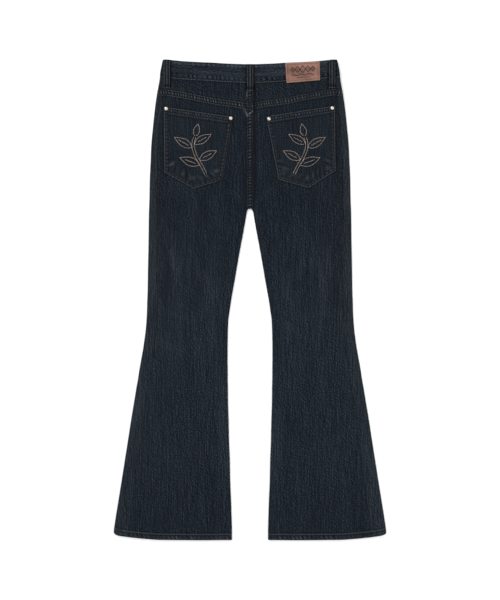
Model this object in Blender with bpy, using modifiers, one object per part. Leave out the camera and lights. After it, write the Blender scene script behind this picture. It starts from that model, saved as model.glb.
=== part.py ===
"""Bootcut jeans lying flat on a table with the back up.

Frame: metres, +Z up off the table, +Y toward the waist, +X to the right of someone who looks down at the
back. The underside of the front panels is the plane z = 0. All tables are in millimetres.
The wearer's left is -X.
"""

import math

import bmesh
import bpy
from mathutils import Vector

MM = 0.001

# ---------------------------------------------------------------- driving sizes (mm)
DENIM = 1.2  # wall of one ply
HEM_WALL = 2.1  # the turned-up hem, three plies pressed flat
HEM_DEPTH = 12.0
BAND_WALL = 2.4  # waistband, two plies
SEAM_GAP = 0.3  # clearance between sewn pieces
BAND_BACK_HEIGHT, BAND_SIDE_HEIGHT, BAND_FRONT_HEIGHT = 39.0, 37.3, 38.0
BAND_BOTTOM_Z, BAND_TOP_Z = 1.5, 9.3  # its lowest and highest faces
FRONT_DIP = 22.0  # how far the front of the waist sits below the sides
OVERLAP_OUT, OVERLAP_IN, OVERLAP_RAMP = 18.0, -18.0, 36.0  # waistband ends over the fly
LOOP_WIDTH, LOOP_WALL = 13.6, 1.3
POCKET_WALL = 1.2
PATCH_WALL = 1.6
RIVET_RADIUS, RIVET_HEIGHT = 4.9, 2.1
BUTTON_RADIUS, BUTTON_HEIGHT = 8.5, 1.2
ZIP_WIDTH, ZIP_WALL, ZIP_TOP, ZIP_END = 26.0, 1.2, 450.0, 352.0
SCOOP_START, SCOOP_END_Y, SCOOP_DIP = 82.0, 453.0, 12.0  # front pocket mouth
FACING_START, FACING_UNDER, FACING_TUCK = 66.0, 20.0, 1.6
FACING_WALL = 1.0
CROTCH_Y = 197.2

# half widths of one side of the silhouette: a row per section. "inner" is the inseam edge of a leg, and 0.15
# (half a seam gap) above the crotch, where the two halves meet.
OUTLINE = [  # y, outer, inner
    (-518.8, 294.6, 38.9), (-506.8, 294.3, 39.0), (-496.8, 293.7, 39.1), (-475.2, 290.7, 39.6),
    (-432.0, 283.8, 41.0), (-388.8, 276.9, 42.8), (-345.6, 270.1, 43.6), (-302.4, 263.3, 45.3),
    (-259.2, 256.6, 46.2), (-216.0, 249.5, 47.5), (-172.8, 242.1, 48.1), (-129.6, 235.0, 48.4),
    (-86.4, 227.9, 48.2), (-64.8, 225.1, 47.7), (-43.2, 223.3, 46.7), (-21.6, 222.3, 43.8),
    (0.0, 221.4, 40.6), (43.2, 220.3, 32.8), (86.4, 219.6, 25.5), (129.6, 218.4, 17.5),
    (172.8, 217.9, 9.7), (194.4, 217.5, 5.4), (197.2, 217.4, 0.15), (259.2, 215.8, 0.15),
    (302.4, 213.8, 0.15), (345.6, 211.6, 0.15), (388.8, 207.4, 0.15), (432.0, 202.0, 0.15),
    (453.6, 198.5, 0.15), (475.2, 194.8, 0.15), (496.8, 191.8, 0.15), (518.4, 188.1, 0.15),
]
# height of the lower face, and of the hollow between the plies, up the garment
LAY = [  # y, lower, hollow
    (-520.0, 0.0, 0.9), (-505.0, 0.0, 1.1), (-492.0, 0.0, 2.2), (190.0, 0.0, 2.2), (300.0, 0.0, 2.4),
    (400.0, 0.0, 2.8), (438.0, 1.6, 3.2), (455.0, 1.95, 3.75), (466.0, 2.1, 3.7), (520.0, 2.1, 3.4),
]
# how far the side seam lies in from the edge, on the back
WRAP = [(-505.0, 34.0), (162.0, 17.0), (449.0, 13.0), (518.0, 12.0)]  # y, wrap
HEM_EDGE = [  # x, y
    (38.0, -518.4), (52.0, -518.4), (104.0, -518.8), (156.0, -518.4), (194.0, -518.0), (207.0, -517.4),
    (220.0, -516.4), (233.0, -515.4), (246.0, -514.0), (259.0, -512.6), (272.0, -510.9), (285.0, -508.7),
    (292.0, -505.4), (295.0, -503.0),
]
WAIST_TOP = [  # x, y
    (0.0, 508.0), (26.0, 508.8), (52.0, 509.8), (78.0, 511.5), (104.0, 512.6), (130.0, 513.9), (143.0, 514.8),
    (156.0, 516.0), (168.0, 517.2), (181.0, 518.5), (190.0, 518.5),
]
YOKE_SEAM = [  # x, y: the yoke's lower edge
    (0.0, 412.5), (13.0, 415.0), (39.0, 419.4), (78.0, 424.6), (104.0, 430.0), (130.0, 435.0), (156.0, 439.6),
    (183.0, 443.7), (205.0, 445.5),
]
# broad soft swells of the upper ply: centre, half length along the fold, half width across it, direction
# of the fold from +Y toward +X in degrees, and height
FOLDS = [  # x, y, half_length, half_width, angle, height
    (118.0, 112.0, 92.0, 26.0, 4.0, 0.7),
    (72.0, 92.0, 80.0, 20.0, -6.0, -0.5),
    (150.0, -30.0, 60.0, 30.0, 86.0, 0.6),
    (170.0, -190.0, 150.0, 34.0, 9.0, 0.6),
    (110.0, -300.0, 140.0, 30.0, 3.0, 0.5),
    (215.0, -370.0, 110.0, 26.0, 10.0, 0.5),
]
# outer corners of the back pockets, clockwise from the upper corner by the side seam
POCKETS = {  # side_top, centre_top, centre_low, tip, side_low: (x, y)
    "left": [(-185.4, 418.8), (-34.1, 398.1), (-57.7, 260.3), (-122.3, 243.0), (-184.2, 278.2)],
    "right": [(182.1, 420.1), (36.1, 396.8), (62.2, 260.3), (127.0, 243.0), (182.1, 281.0)],
}
RIVETS = {  # centre (x, y) on a pocket corner
    "rivet_left_outer": (-179.6, 411.9), "rivet_left_inner": (-41.5, 392.4),
    "rivet_right_inner": (41.6, 390.8), "rivet_right_outer": (176.4, 413.4),
}
LOOPS = {  # x, top y, lowest y
    "belt_loop_back_left": (-178.4, 517.4, 456.8), "belt_loop_back_centre": (1.6, 508.0, 451.4),
    "belt_loop_back_right": (176.4, 516.8, 457.4),
}
FRONT_LOOPS = {"belt_loop_front_left": -92.0, "belt_loop_front_right": 92.0}  # x
PATCH = [(76.0, 511.0), (150.0, 514.7), (151.0, 474.0), (79.0, 468.0)]  # clockwise from the top left

COLOURS = {  # name: (linear colour, roughness, metallic)
    "denim": ((0.0165, 0.0210, 0.0275), 0.92, 0.0),
    "denim_band": ((0.0200, 0.0255, 0.0325), 0.92, 0.0),
    "leather": ((0.262, 0.138, 0.104), 0.72, 0.0),
    "rivet_metal": ((0.72, 0.69, 0.62), 0.32, 1.0),
    "zip_tape": ((0.03, 0.035, 0.045), 0.8, 0.0),
}


# ---------------------------------------------------------------- tools
def table(rows, at, column=1):
    """Straight-line reading of a table whose first column rises."""
    if at <= rows[0][0]:
        return rows[0][column]
    for a, b in zip(rows, rows[1:]):
        if at <= b[0]:
            t = (at - a[0]) / (b[0] - a[0])
            return a[column] + (b[column] - a[column]) * t
    return rows[-1][column]


def smooth(t):
    t = min(1.0, max(0.0, t))
    return t * t * (3.0 - 2.0 * t)


def outer(y):
    return table(OUTLINE, y, 1)


def inner(y):
    return table(OUTLINE, y, 2)


def side_seam(y):
    return outer(y) - table(WRAP, y)


def low(y):
    return table(LAY, y, 1)


def wall_at(y):
    return HEM_WALL if y < -505.5 else DENIM


def high(y):
    """Upper face of the garment, folds left out."""
    hem = 2.0 * HEM_WALL * (1.0 - smooth((y + 505.0) / 13.0)) + 2.0 * DENIM * smooth((y + 505.0) / 13.0)
    return low(y) + hem + table(LAY, y, 2)


def swell(x, y):
    """Height of the soft folds on the upper ply at |x|, y, faded out at the seams."""
    total = 0.0
    x = abs(x)
    for fx, fy, half_length, half_width, angle, height in FOLDS:
        a = math.radians(angle)
        along = (x - fx) * math.sin(a) + (y - fy) * math.cos(a)
        across = (x - fx) * math.cos(a) - (y - fy) * math.sin(a)
        r = (along / half_length) ** 2 + (across / half_width) ** 2
        if r < 4.0:
            total += height * math.exp(-1.6 * r)
    edge = smooth((side_seam(y) - x) / 22.0) * smooth((x - inner(y)) / 18.0)
    return total * edge


def band_top(x, front):
    x = min(abs(x), 188.0)
    if front:
        return 518.5 - FRONT_DIP * (1.0 - (x / 188.0) ** 2)
    return table(WAIST_TOP, x)


def band_low(x, front):
    x = min(abs(x), 188.0)
    t = (x / 188.0) ** 2
    middle = BAND_FRONT_HEIGHT if front else BAND_BACK_HEIGHT
    return band_top(x, front) - (middle + (BAND_SIDE_HEIGHT - middle) * t)


def scoop(x):
    """The front pocket's mouth, from the waistband out to the side."""
    start = band_low(SCOOP_START, True) - SEAM_GAP
    t = min(1.0, max(0.0, (abs(x) - SCOOP_START) / (190.0 - SCOOP_START)))
    return start + (SCOOP_END_Y - start) * t - SCOOP_DIP * math.sin(math.pi * t ** 0.7)


def collection(name):
    c = bpy.data.collections.new(name)
    bpy.context.scene.collection.children.link(c)
    return c


def material(node, kind):
    colour, rough, metal = COLOURS[kind]
    m = bpy.data.materials.new(node + "_" + kind)
    m.use_nodes = True
    p = m.node_tree.nodes["Principled BSDF"]
    p.inputs["Base Color"].default_value = (*colour, 1.0)
    p.inputs["Roughness"].default_value = rough
    p.inputs["Metallic"].default_value = metal
    m.diffuse_color = (*colour, 1.0)
    return m


def add(name, mesh, kind):
    o = bpy.data.objects.new(name, mesh)
    JEANS.objects.link(o)
    o.parent = ROOT
    mesh.materials.append(material(name, kind))
    for p in mesh.polygons:
        p.use_smooth = True
    return o


def sheet(name, rows, wall, kind, turn=False, thin=None):
    """A ply of cloth: rows of points on its outer face, lofted and given its wall inward.

    thin is (share, flags): rows whose flag is False get share of the wall."""
    bm = bmesh.new()
    grid = [[bm.verts.new(Vector(p) * MM) for p in row] for row in rows]
    for a, b in zip(grid, grid[1:]):
        for k in range(len(a) - 1):
            quad = (a[k], a[k + 1], b[k + 1], b[k])
            bm.faces.new(quad[::-1] if turn else quad)
    mesh = bpy.data.meshes.new(name)
    bm.verts.index_update()
    index = [[v.index for v in row] for row in grid]
    bm.to_mesh(mesh)
    bm.free()
    o = add(name, mesh, kind)
    s = o.modifiers.new("wall", "SOLIDIFY")
    s.thickness = wall * MM
    s.offset = -1.0
    s.use_even_offset = True
    s.use_quality_normals = True
    if thin:
        share, flags = thin
        group = o.vertex_groups.new(name="full_wall")
        for row, flag in zip(index, flags):
            if flag:
                group.add(row, 1.0, "REPLACE")
        s.vertex_group = "full_wall"
        s.thickness_vertex_group = share
    return o


def turned(name, profile, at, kind, steps=14):
    """A turned metal piece: its profile (radius, height) screwed round Z."""
    mesh = bpy.data.meshes.new(name)
    points = [(r * MM, 0.0, z * MM) for r, z in profile]
    mesh.from_pydata(points, [(k, k + 1) for k in range(len(points) - 1)], [])
    o = add(name, mesh, kind)
    o.location = Vector(at) * MM
    s = o.modifiers.new("turn", "SCREW")
    s.axis = "Z"
    s.angle = 2.0 * math.pi
    s.steps = steps
    s.render_steps = steps
    s.use_merge_vertices = True
    s.merge_threshold = 0.00001
    s.use_normal_calculate = True
    return o


# ---------------------------------------------------------------- panels
LEG_ROWS = [
    -518.8, -507.0, -505.2, -492.0, -475.2, -432.0, -388.8, -345.6, -302.4, -259.2, -216.0, -172.8, -129.6, -86.4,
    -43.2, 0.0, 43.2, 86.4, 129.6, 172.8, 192.0, 197.2, 202.0, 259.2, 310.0, 360.0,
]
EDGE_DROP = 0.5  # upright lip at the inseam, above and below its rounded turns
CROTCH_LIP = 1.0  # the plies stay this far from mid height at the crotch
FRONT_X = (4.15, 40.0, 82.0, 112.0, 150.0)  # columns that the fronts share with the waistband
BACK_X = (181.0, 156.0, 130.0, 104.0, 78.0, 39.0, 4.15)  # columns that back, yoke and waistband share
FRONT_ACROSS = (0.0, 0.19, 0.42, 0.58, 0.78, 1.0)
BACK_ACROSS = (0.0, 0.05, 0.18, 0.32, 0.46, 0.60, 0.81, 1.0)


def follow(y, x, edge, reference, reach):
    """Moves a row so that rows near an edge run along it."""
    t = 1.0 - smooth(abs(y - reference) / reach)
    return y + (edge(x) - reference) * t


def hem_y(x):
    return table(HEM_EDGE, abs(x))


def row_y(y, x, top_edge, top_reference):
    if y < -300.0:
        return follow(y, x, hem_y, -518.8, 160.0)
    if y > 259.3:
        return follow(y, x, top_edge, top_reference, top_reference - 255.0)
    return y


def rise(radius, angle):
    return radius * (1.0 - math.cos(math.radians(angle)))


def front_panel(side):
    s = -1.0 if side == "left" else 1.0
    top_edge = lambda x: (band_low(x, True) - SEAM_GAP) if abs(x) < SCOOP_START else scoop(x)  # noqa: E731
    names = LEG_ROWS + [400.0, 424.0, 455.0]
    rows, flags = [], []
    for y0 in names:
        row = []
        last = y0 == names[-1]

        def place(x, y0=y0, last=last):
            return top_edge(x) if last else row_y(y0, x, top_edge, 455.0)

        y = place(100.0)
        # inseam edge, then across the underside
        for k, angle in enumerate((90.0, 90.0, 45.0)):
            r = 0.5 * (high(y) - low(y))
            yy = place(inner(y) + r)
            r = 0.5 * (high(yy) - low(yy))
            if y0 > CROTCH_Y + 1.0:
                x = 0.15 + 1.3 * k
                z = low(place(x))
            else:
                q = r - EDGE_DROP
                x = inner(yy) + q * (1.0 - math.sin(math.radians(angle)))
                lip = CROTCH_LIP if y0 == CROTCH_Y else 0.5 * SEAM_GAP
                z = low(yy) + (r - lip if k == 0 else min(rise(q, angle), r - lip - 0.05))
            row.append((s * x, place(x), z))
        for k, u in enumerate(FRONT_ACROSS):
            yy = y
            for _ in range(3):
                r = 0.5 * (high(yy) - low(yy))
                first = (inner(yy) + r - EDGE_DROP) if y0 <= CROTCH_Y + 1.0 else 4.15
                x = first + (outer(yy) - r - first) * u
                if last and k < len(FRONT_X):
                    x = FRONT_X[k]
                yy = place(x)
            row.append((s * x, yy, low(yy)))
        for angle in (36.0, 72.0, 108.0, 144.0, 180.0):
            yy = place(outer(y))
            r = 0.5 * (high(yy) - low(yy))
            x = outer(yy) - r + r * math.sin(math.radians(angle))
            row.append((s * x, yy, low(yy) + rise(r, angle)))
        for u in (0.5, 1.0):
            yy = place(outer(y) - 8.0)
            r = 0.5 * (high(yy) - low(yy))
            a, b = outer(yy) - r, side_seam(yy) + 0.5 * SEAM_GAP
            x = a + (b - a) * u
            row.append((s * x, yy, high(yy)))
        rows.append(row)
        flags.append(y0 < -506.0)
    return sheet("front_" + side, rows, HEM_WALL, "denim", turn=s > 0, thin=(DENIM / HEM_WALL, flags))


def yoke_y(x):
    return table(YOKE_SEAM, abs(x))


def back_panel(side):
    s = -1.0 if side == "left" else 1.0
    top_edge = lambda x: yoke_y(x) - SEAM_GAP  # noqa: E731
    names = LEG_ROWS + [398.0, 430.0]
    rows, flags = [], []
    for y0 in names:
        row = []
        last = y0 == names[-1]

        def place(x, y0=y0, last=last):
            return top_edge(x) if last else row_y(y0, x, top_edge, 430.0)

        y = place(100.0)
        for k, u in enumerate(BACK_ACROSS):
            yy = y
            for _ in range(3):
                r = 0.5 * (high(yy) - low(yy))
                first = (inner(yy) + r - EDGE_DROP) if y0 <= CROTCH_Y + 1.0 else 4.15
                b = side_seam(yy) - 0.5 * SEAM_GAP
                x = b + (first - b) * u
                if last and k > 0:
                    x = BACK_X[k - 1]
                yy = place(x)
            row.append((s * x, yy, high(yy) + swell(x, yy)))
        for k, angle in ((2, 45.0), (1, 90.0), (0, 90.0)):
            yy = place(inner(y) + 1.0)
            r = 0.5 * (high(yy) - low(yy))
            if y0 > CROTCH_Y + 1.0:
                x = 0.15 + 1.3 * k
                z = high(place(x))
            else:
                q = r - EDGE_DROP
                x = inner(yy) + q * (1.0 - math.sin(math.radians(angle)))
                lip = CROTCH_LIP if y0 == CROTCH_Y else 0.5 * SEAM_GAP
                z = low(yy) + r + lip if k == 0 else high(yy) - min(rise(q, angle), r - lip - 0.05)
            row.append((s * x, place(x), z))
        rows.append(row)
        flags.append(y0 < -506.0)
    return sheet("back_" + side, rows, HEM_WALL, "denim", turn=s > 0, thin=(DENIM / HEM_WALL, flags))


def yoke(side):
    s = -1.0 if side == "left" else 1.0
    rows = []
    for v in (0.0, 0.35, 0.7, 1.0):
        row = []
        for x in (None, *BACK_X, 0.15):
            y = yoke_y(x or 186.0) + (band_low(x or 186.0, False) - SEAM_GAP - yoke_y(x or 186.0)) * v
            row.append((s * (x or side_seam(y) - 0.5 * SEAM_GAP), y, high(y)))
        rows.append(row)
    return sheet("yoke_" + side, rows, DENIM, "denim", turn=s > 0)


def facing(side):
    """Scoop-pocket facing: under the front panel's mouth, then round the side to the side seam."""
    s = -1.0 if side == "left" else 1.0
    rows = []
    for step, least in ((-FACING_UNDER, 22.0), (-9.0, 14.0), (0.6, 7.0), (7.0, 3.5), (None, 0.0)):
        row = []

        def place(x, front, step=step, least=least):
            top = band_low(x, front) - 2.5 * SEAM_GAP
            return top if step is None else min(top - least, scoop(x) + step)

        inside = step is not None and step < 1.0
        for u in (0.0, 0.13, 0.37, 0.67, 1.0):
            x = FACING_START + (184.0 - FACING_START) * u
            for _ in range(3):
                y = place(x, True)
                r = 0.5 * (high(y) - low(y))
                if u == 1.0:
                    x = outer(y) - r
                elif step is None:
                    x = (FACING_START, *FRONT_X[2:])[(0.0, 0.13, 0.37, 0.67).index(u)]
                else:
                    x = FACING_START + (outer(y) - r - FACING_START) * u
            row.append((s * x, y, low(y) + FACING_TUCK))
        for angle, share in ((45.0, 0.7), (90.0, 0.3), (135.0, 0.0), (180.0, 0.0)):
            y = place(188.0, angle <= 90.0)
            r = 0.5 * (high(y) - low(y))
            tuck = FACING_TUCK * (1.0 if inside else share)
            q = r - tuck
            x = outer(y) - r + q * math.sin(math.radians(angle))
            row.append((s * x, y, low(y) + r - q * math.cos(math.radians(angle))))
        y = place(186.0, False)
        row.append((s * (side_seam(y) + 0.5 * SEAM_GAP), y, high(y) - (FACING_TUCK if inside else 0.0)))
        rows.append(row)
    return sheet("pocket_facing_" + side, rows, FACING_WALL, "denim", turn=s > 0)


# ---------------------------------------------------------------- waistband
def waistband():
    """One strip: outer end, wearer's left front, round over the back, right front, inner end over the fly."""
    r = 0.5 * (BAND_TOP_Z - BAND_BOTTOM_Z)
    path = [("front", x, 0.0) for x in (OVERLAP_OUT, 4.15, -4.15, *(-x for x in FRONT_X[1:]))]
    path += [("left", a, 0.0) for a in (0.0, 30.0, 60.0, 90.0, 120.0, 150.0, 180.0)]
    path += [("back", x, 0.0) for x in (*(-x for x in BACK_X[:-1]), 0.0, *BACK_X[-2::-1])]
    path += [("right", a, 0.0) for a in (180.0, 150.0, 120.0, 90.0, 60.0, 30.0, 0.0)]
    lift = BAND_WALL + SEAM_GAP
    path += [("front", x, 0.0) for x in (*FRONT_X[:0:-1], OVERLAP_RAMP)]
    path += [("front", x, lift) for x in (OVERLAP_OUT + 5.0, 4.15, OVERLAP_IN)]
    rows = []
    for v in (0.0, 0.5, 1.0):
        row = []
        for where, value, up in path:
            if where in ("left", "right"):
                sign = -1.0 if where == "left" else 1.0
                y = band_low(188.0, value < 90.0) + v * (band_top(188.0, value < 90.0) - band_low(188.0, value < 90.0))
                y = y if value != 90.0 else 0.5 * (y + band_low(188.0, True) + v * (band_top(188.0, True) - band_low(188.0, True)))
                x = sign * (outer(y) - r + r * math.sin(math.radians(value)))
                z = BAND_BOTTOM_Z + rise(r, value)
            else:
                front = where == "front"
                x = value
                y = band_low(x, front) + v * (band_top(x, front) - band_low(x, front))
                z = BAND_BOTTOM_Z + up if front else BAND_TOP_Z
            row.append((x, y, z))
        rows.append(row)
    return sheet("waistband", rows, BAND_WALL, "denim_band", turn=False)


# ---------------------------------------------------------------- pieces that lie on the cloth
def pocket(side):
    """Five-sided patch, made from the back panel's upper face, moved out."""
    side_top, centre_top, centre_low, tip, side_low = POCKETS[side]
    rows = []
    for v in (0.0, 0.09, 0.3, 0.52, 0.74, 0.9, 1.0):
        row = []
        for u in (0.0, 0.09, 0.3, 0.5, 0.7, 0.91, 1.0):
            top = [side_top[k] + (centre_top[k] - side_top[k]) * u for k in (0, 1)]
            if u <= 0.5:
                a, b, t = side_low, tip, u / 0.5
            else:
                a, b, t = tip, centre_low, (u - 0.5) / 0.5
            foot = [a[k] + (b[k] - a[k]) * t for k in (0, 1)]
            x, y = (top[k] + (foot[k] - top[k]) * v for k in (0, 1))
            row.append((x, y, high(y) + swell(x, y) + SEAM_GAP + 0.12 + POCKET_WALL))
        rows.append(row)
    return sheet("back_pocket_" + side, rows, POCKET_WALL, "denim", turn=side == "left")


def loop(name, x, top, foot):
    """A folded strip from the waistband's upper edge down onto the yoke."""
    edge = band_low(x, False)
    over, under = BAND_TOP_Z + SEAM_GAP + LOOP_WALL, high(edge - 8.0) + SEAM_GAP + LOOP_WALL
    path = [
        (top, over), (top - 12.0, over), (edge + 10.0, over), (edge - 1.2, over), (edge - 7.0, under + 0.1),
        (foot + 7.0, high(foot + 7.0) + SEAM_GAP + LOOP_WALL + 0.05), (foot, high(foot) + SEAM_GAP + LOOP_WALL + 0.05),
    ]
    half = 0.5 * LOOP_WIDTH
    rows = [[(x + k * half, y, z) for k in (-1.0, 0.0, 1.0)] for y, z in path]
    return sheet(name, rows, LOOP_WALL, "denim_band", turn=True)


def front_loop(name, x):
    """The same strip under the front, flat on the table."""
    top = min(band_top(abs(x) - 0.5 * LOOP_WIDTH, True), band_top(x, True)) - 0.3
    half = 0.5 * LOOP_WIDTH
    rows = [[(x + k * half, y, 0.0) for k in (-1.0, 0.0, 1.0)] for y in (top, top - 20.0, top - 40.0, top - 58.0)]
    return sheet(name, rows, 1.15, "denim_band", turn=False)


def patch():
    a, b, c, d = PATCH
    rows = []
    for v in (0.0, 0.5, 1.0):
        row = []
        for u in (0.0, 0.33, 0.67, 1.0):
            p = [a[k] + (b[k] - a[k]) * u for k in (0, 1)]
            q = [d[k] + (c[k] - d[k]) * u for k in (0, 1)]
            row.append((p[0] + (q[0] - p[0]) * v, p[1] + (q[1] - p[1]) * v, BAND_TOP_Z + SEAM_GAP + PATCH_WALL))
        rows.append(row)
    return sheet("patch", rows, PATCH_WALL, "leather", turn=True)


def rivet(name, at):
    x, y = at
    z = high(y + RIVET_RADIUS) + 2.0 * SEAM_GAP + 0.12 + POCKET_WALL + 0.05
    r, h = RIVET_RADIUS, RIVET_HEIGHT
    profile = [(0.0, 0.0), (0.86 * r, 0.0), (r, 0.22 * h), (0.9 * r, 0.55 * h), (0.55 * r, 0.88 * h), (0.0, h)]
    return turned(name, profile, (x, y, z), "rivet_metal")


def button():
    """Cap of the waist button, on the outer face of the waistband, so under the garment here."""
    r, h = BUTTON_RADIUS, BUTTON_HEIGHT
    y = 0.5 * (band_top(0.0, True) + band_low(0.0, True))
    profile = [(0.0, 0.0), (0.85 * r, 0.0), (r, 0.35 * h), (r, 0.75 * h), (0.9 * r, h), (0.0, h)]
    return turned("waist_button", profile, (2.0, y, 0.0), "rivet_metal", steps=20)


def fly_zip():
    """The closed fly's zip: tapes, chain and slider in one flat strip on the inner face of the fronts."""
    half = 0.5 * ZIP_WIDTH
    rows = []
    for k in range(5):
        y = ZIP_TOP + (ZIP_END - ZIP_TOP) * k / 4.0
        z = low(y) + DENIM + SEAM_GAP + ZIP_WALL + 0.06
        rows.append([(x, y, z) for x in (-half, -4.0, 4.0, half)])
    return sheet("fly_zip", rows, ZIP_WALL, "zip_tape", turn=True)


def clear_scene():
    for o in list(bpy.data.objects):
        bpy.data.objects.remove(o, do_unlink=True)


clear_scene()
JEANS = collection("bootcut_jeans")
ROOT = bpy.data.objects.new("jeans_root", None)
JEANS.objects.link(ROOT)

for SIDE in ("left", "right"):
    front_panel(SIDE)
    back_panel(SIDE)
    yoke(SIDE)
    facing(SIDE)
    pocket(SIDE)
waistband()
patch()
for NAME, (X, TOP, FOOT) in LOOPS.items():
    loop(NAME, X, TOP, FOOT)
for NAME, X in FRONT_LOOPS.items():
    front_loop(NAME, X)
for NAME, AT in RIVETS.items():
    rivet(NAME, AT)
button()
fly_zip()
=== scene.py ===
"""Looks of the bootcut jeans: dark stretch denim laid flat with the back up.

Lengths are millimetres until a mesh is made. +X right, +Y toward the waist, +Z up off the table.
"""

import math

import bpy
import numpy as np
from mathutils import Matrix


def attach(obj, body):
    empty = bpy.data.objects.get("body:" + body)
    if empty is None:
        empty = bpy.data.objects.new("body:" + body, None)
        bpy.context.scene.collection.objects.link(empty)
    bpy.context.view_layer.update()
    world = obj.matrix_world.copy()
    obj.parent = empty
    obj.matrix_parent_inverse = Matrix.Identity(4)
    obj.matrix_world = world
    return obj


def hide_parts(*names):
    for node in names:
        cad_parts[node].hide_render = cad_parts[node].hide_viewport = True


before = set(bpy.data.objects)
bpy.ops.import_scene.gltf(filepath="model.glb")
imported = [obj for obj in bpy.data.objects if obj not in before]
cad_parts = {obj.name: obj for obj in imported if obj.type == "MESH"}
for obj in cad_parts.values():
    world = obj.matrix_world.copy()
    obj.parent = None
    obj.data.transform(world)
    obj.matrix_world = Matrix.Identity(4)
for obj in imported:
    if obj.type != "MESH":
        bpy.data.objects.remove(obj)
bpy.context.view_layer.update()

MM = 0.001

# ------------------------------------------------------------------ sizes (mm)
DENIM, BAND_WALL, HEM_FOLD = 1.2, 2.4, 2.2
BAND_BACK_HEIGHT, BAND_SIDE_HEIGHT, BAND_FRONT_HEIGHT = 39.0, 37.3, 38.0
BAND_BOTTOM_Z, BAND_TOP_Z, FRONT_DIP = 1.5, 9.3, 22.0
SCOOP_START, SCOOP_END_Y, SCOOP_DIP = 82.0, 453.0, 12.0
CROTCH_Y = 197.2
LIFT = 0.35  # the underside's cloth stays this far above the table, its stitches below it

OUTLINE = [  # y, outer, inner
    (-518.8, 295.10, 38.9), (-506.8, 294.80, 39.0), (-496.8, 294.10, 39.1), (-475.2, 291.10, 39.6),
    (-432.0, 284.20, 41.0), (-388.8, 277.30, 42.8), (-345.6, 270.50, 43.6), (-302.4, 263.70, 45.3),
    (-259.2, 257.00, 46.2), (-216.0, 249.90, 47.5), (-194.4, 246.40, 47.7), (-172.8, 242.50, 48.1),
    (-151.2, 239.20, 48.2), (-129.6, 235.40, 48.4), (-108.0, 231.50, 48.4), (-86.4, 228.30, 48.2),
    (-64.8, 225.50, 47.7), (-43.2, 223.70, 46.7), (-21.6, 222.70, 43.8), (0.0, 222.10, 40.6), (21.6, 221.30, 36.7),
    (43.2, 221.00, 32.8), (64.8, 220.70, 29.2), (86.4, 220.30, 25.5), (108.0, 219.75, 21.6), (129.6, 219.35, 17.5),
    (151.2, 219.15, 13.5), (172.8, 218.85, 9.7), (190.0, 218.55, 6.7), (194.4, 218.45, 5.4), (196.6, 218.40, 3.2),
    (197.2, 218.35, 0.0), (216.0, 217.55, 0.0), (237.6, 217.15, 0.0), (259.2, 216.75, 0.0), (280.8, 215.85, 0.0),
    (302.4, 214.75, 0.0), (324.0, 213.95, 0.0), (345.6, 212.55, 0.0), (367.2, 210.45, 0.0), (388.8, 208.35, 0.0),
    (410.4, 205.95, 0.0), (432.0, 202.95, 0.0), (453.6, 199.45, 0.0), (475.2, 195.75, 0.0), (496.8, 192.75, 0.0),
    (505.4, 190.90, 0.0), (518.6, 188.40, 0.0),
]
LAY = [  # y, lower, hollow
    (-520.0, 0.0, 0.9), (-505.0, 0.0, 1.1), (-492.0, 0.0, 2.2), (190.0, 0.0, 2.2), (300.0, 0.0, 2.4),
    (400.0, 0.0, 2.8), (438.0, 1.6, 3.2), (455.0, 1.95, 3.75), (466.0, 2.1, 3.7), (520.0, 2.1, 3.4),
]
WRAP = [(-505.0, 34.0), (162.0, 17.0), (449.0, 13.0), (518.0, 12.0)]  # y, how far in the side seam lies
HEM_EDGE = [  # x, y
    (38.0, -518.4), (52.0, -518.4), (104.0, -518.8), (156.0, -518.4), (194.0, -518.0), (207.0, -517.4),
    (220.0, -516.4), (233.0, -515.4), (246.0, -514.0), (259.0, -512.6), (272.0, -510.9), (285.0, -508.7),
    (291.5, -506.0), (295.0, -503.0),
]
WAIST_TOP = [  # x, y
    (0.0, 508.0), (26.0, 508.8), (52.0, 509.8), (78.0, 511.5), (104.0, 512.6), (130.0, 513.9), (143.0, 514.8),
    (156.0, 516.0), (168.0, 517.2), (181.0, 518.5), (190.0, 518.5),
]
YOKE_SEAM = [  # x, y: the folded lower edge of the yoke
    (0.0, 412.5), (13.0, 415.0), (39.0, 419.4), (78.0, 424.6), (104.0, 430.0), (130.0, 435.0), (156.0, 439.6),
    (183.0, 443.7), (205.0, 445.5),
]
FOLDS = [  # x, y, half_length, half_width, angle, height: broad swells of the upper ply
    (118.0, 112.0, 92.0, 26.0, 4.0, 0.7),
    (72.0, 92.0, 80.0, 20.0, -6.0, -0.5),
    (150.0, -30.0, 60.0, 30.0, 86.0, 0.6),
    (170.0, -190.0, 150.0, 34.0, 9.0, 0.6),
    (110.0, -300.0, 140.0, 30.0, 3.0, 0.5),
    (215.0, -370.0, 110.0, 26.0, 10.0, 0.5),
]
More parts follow.
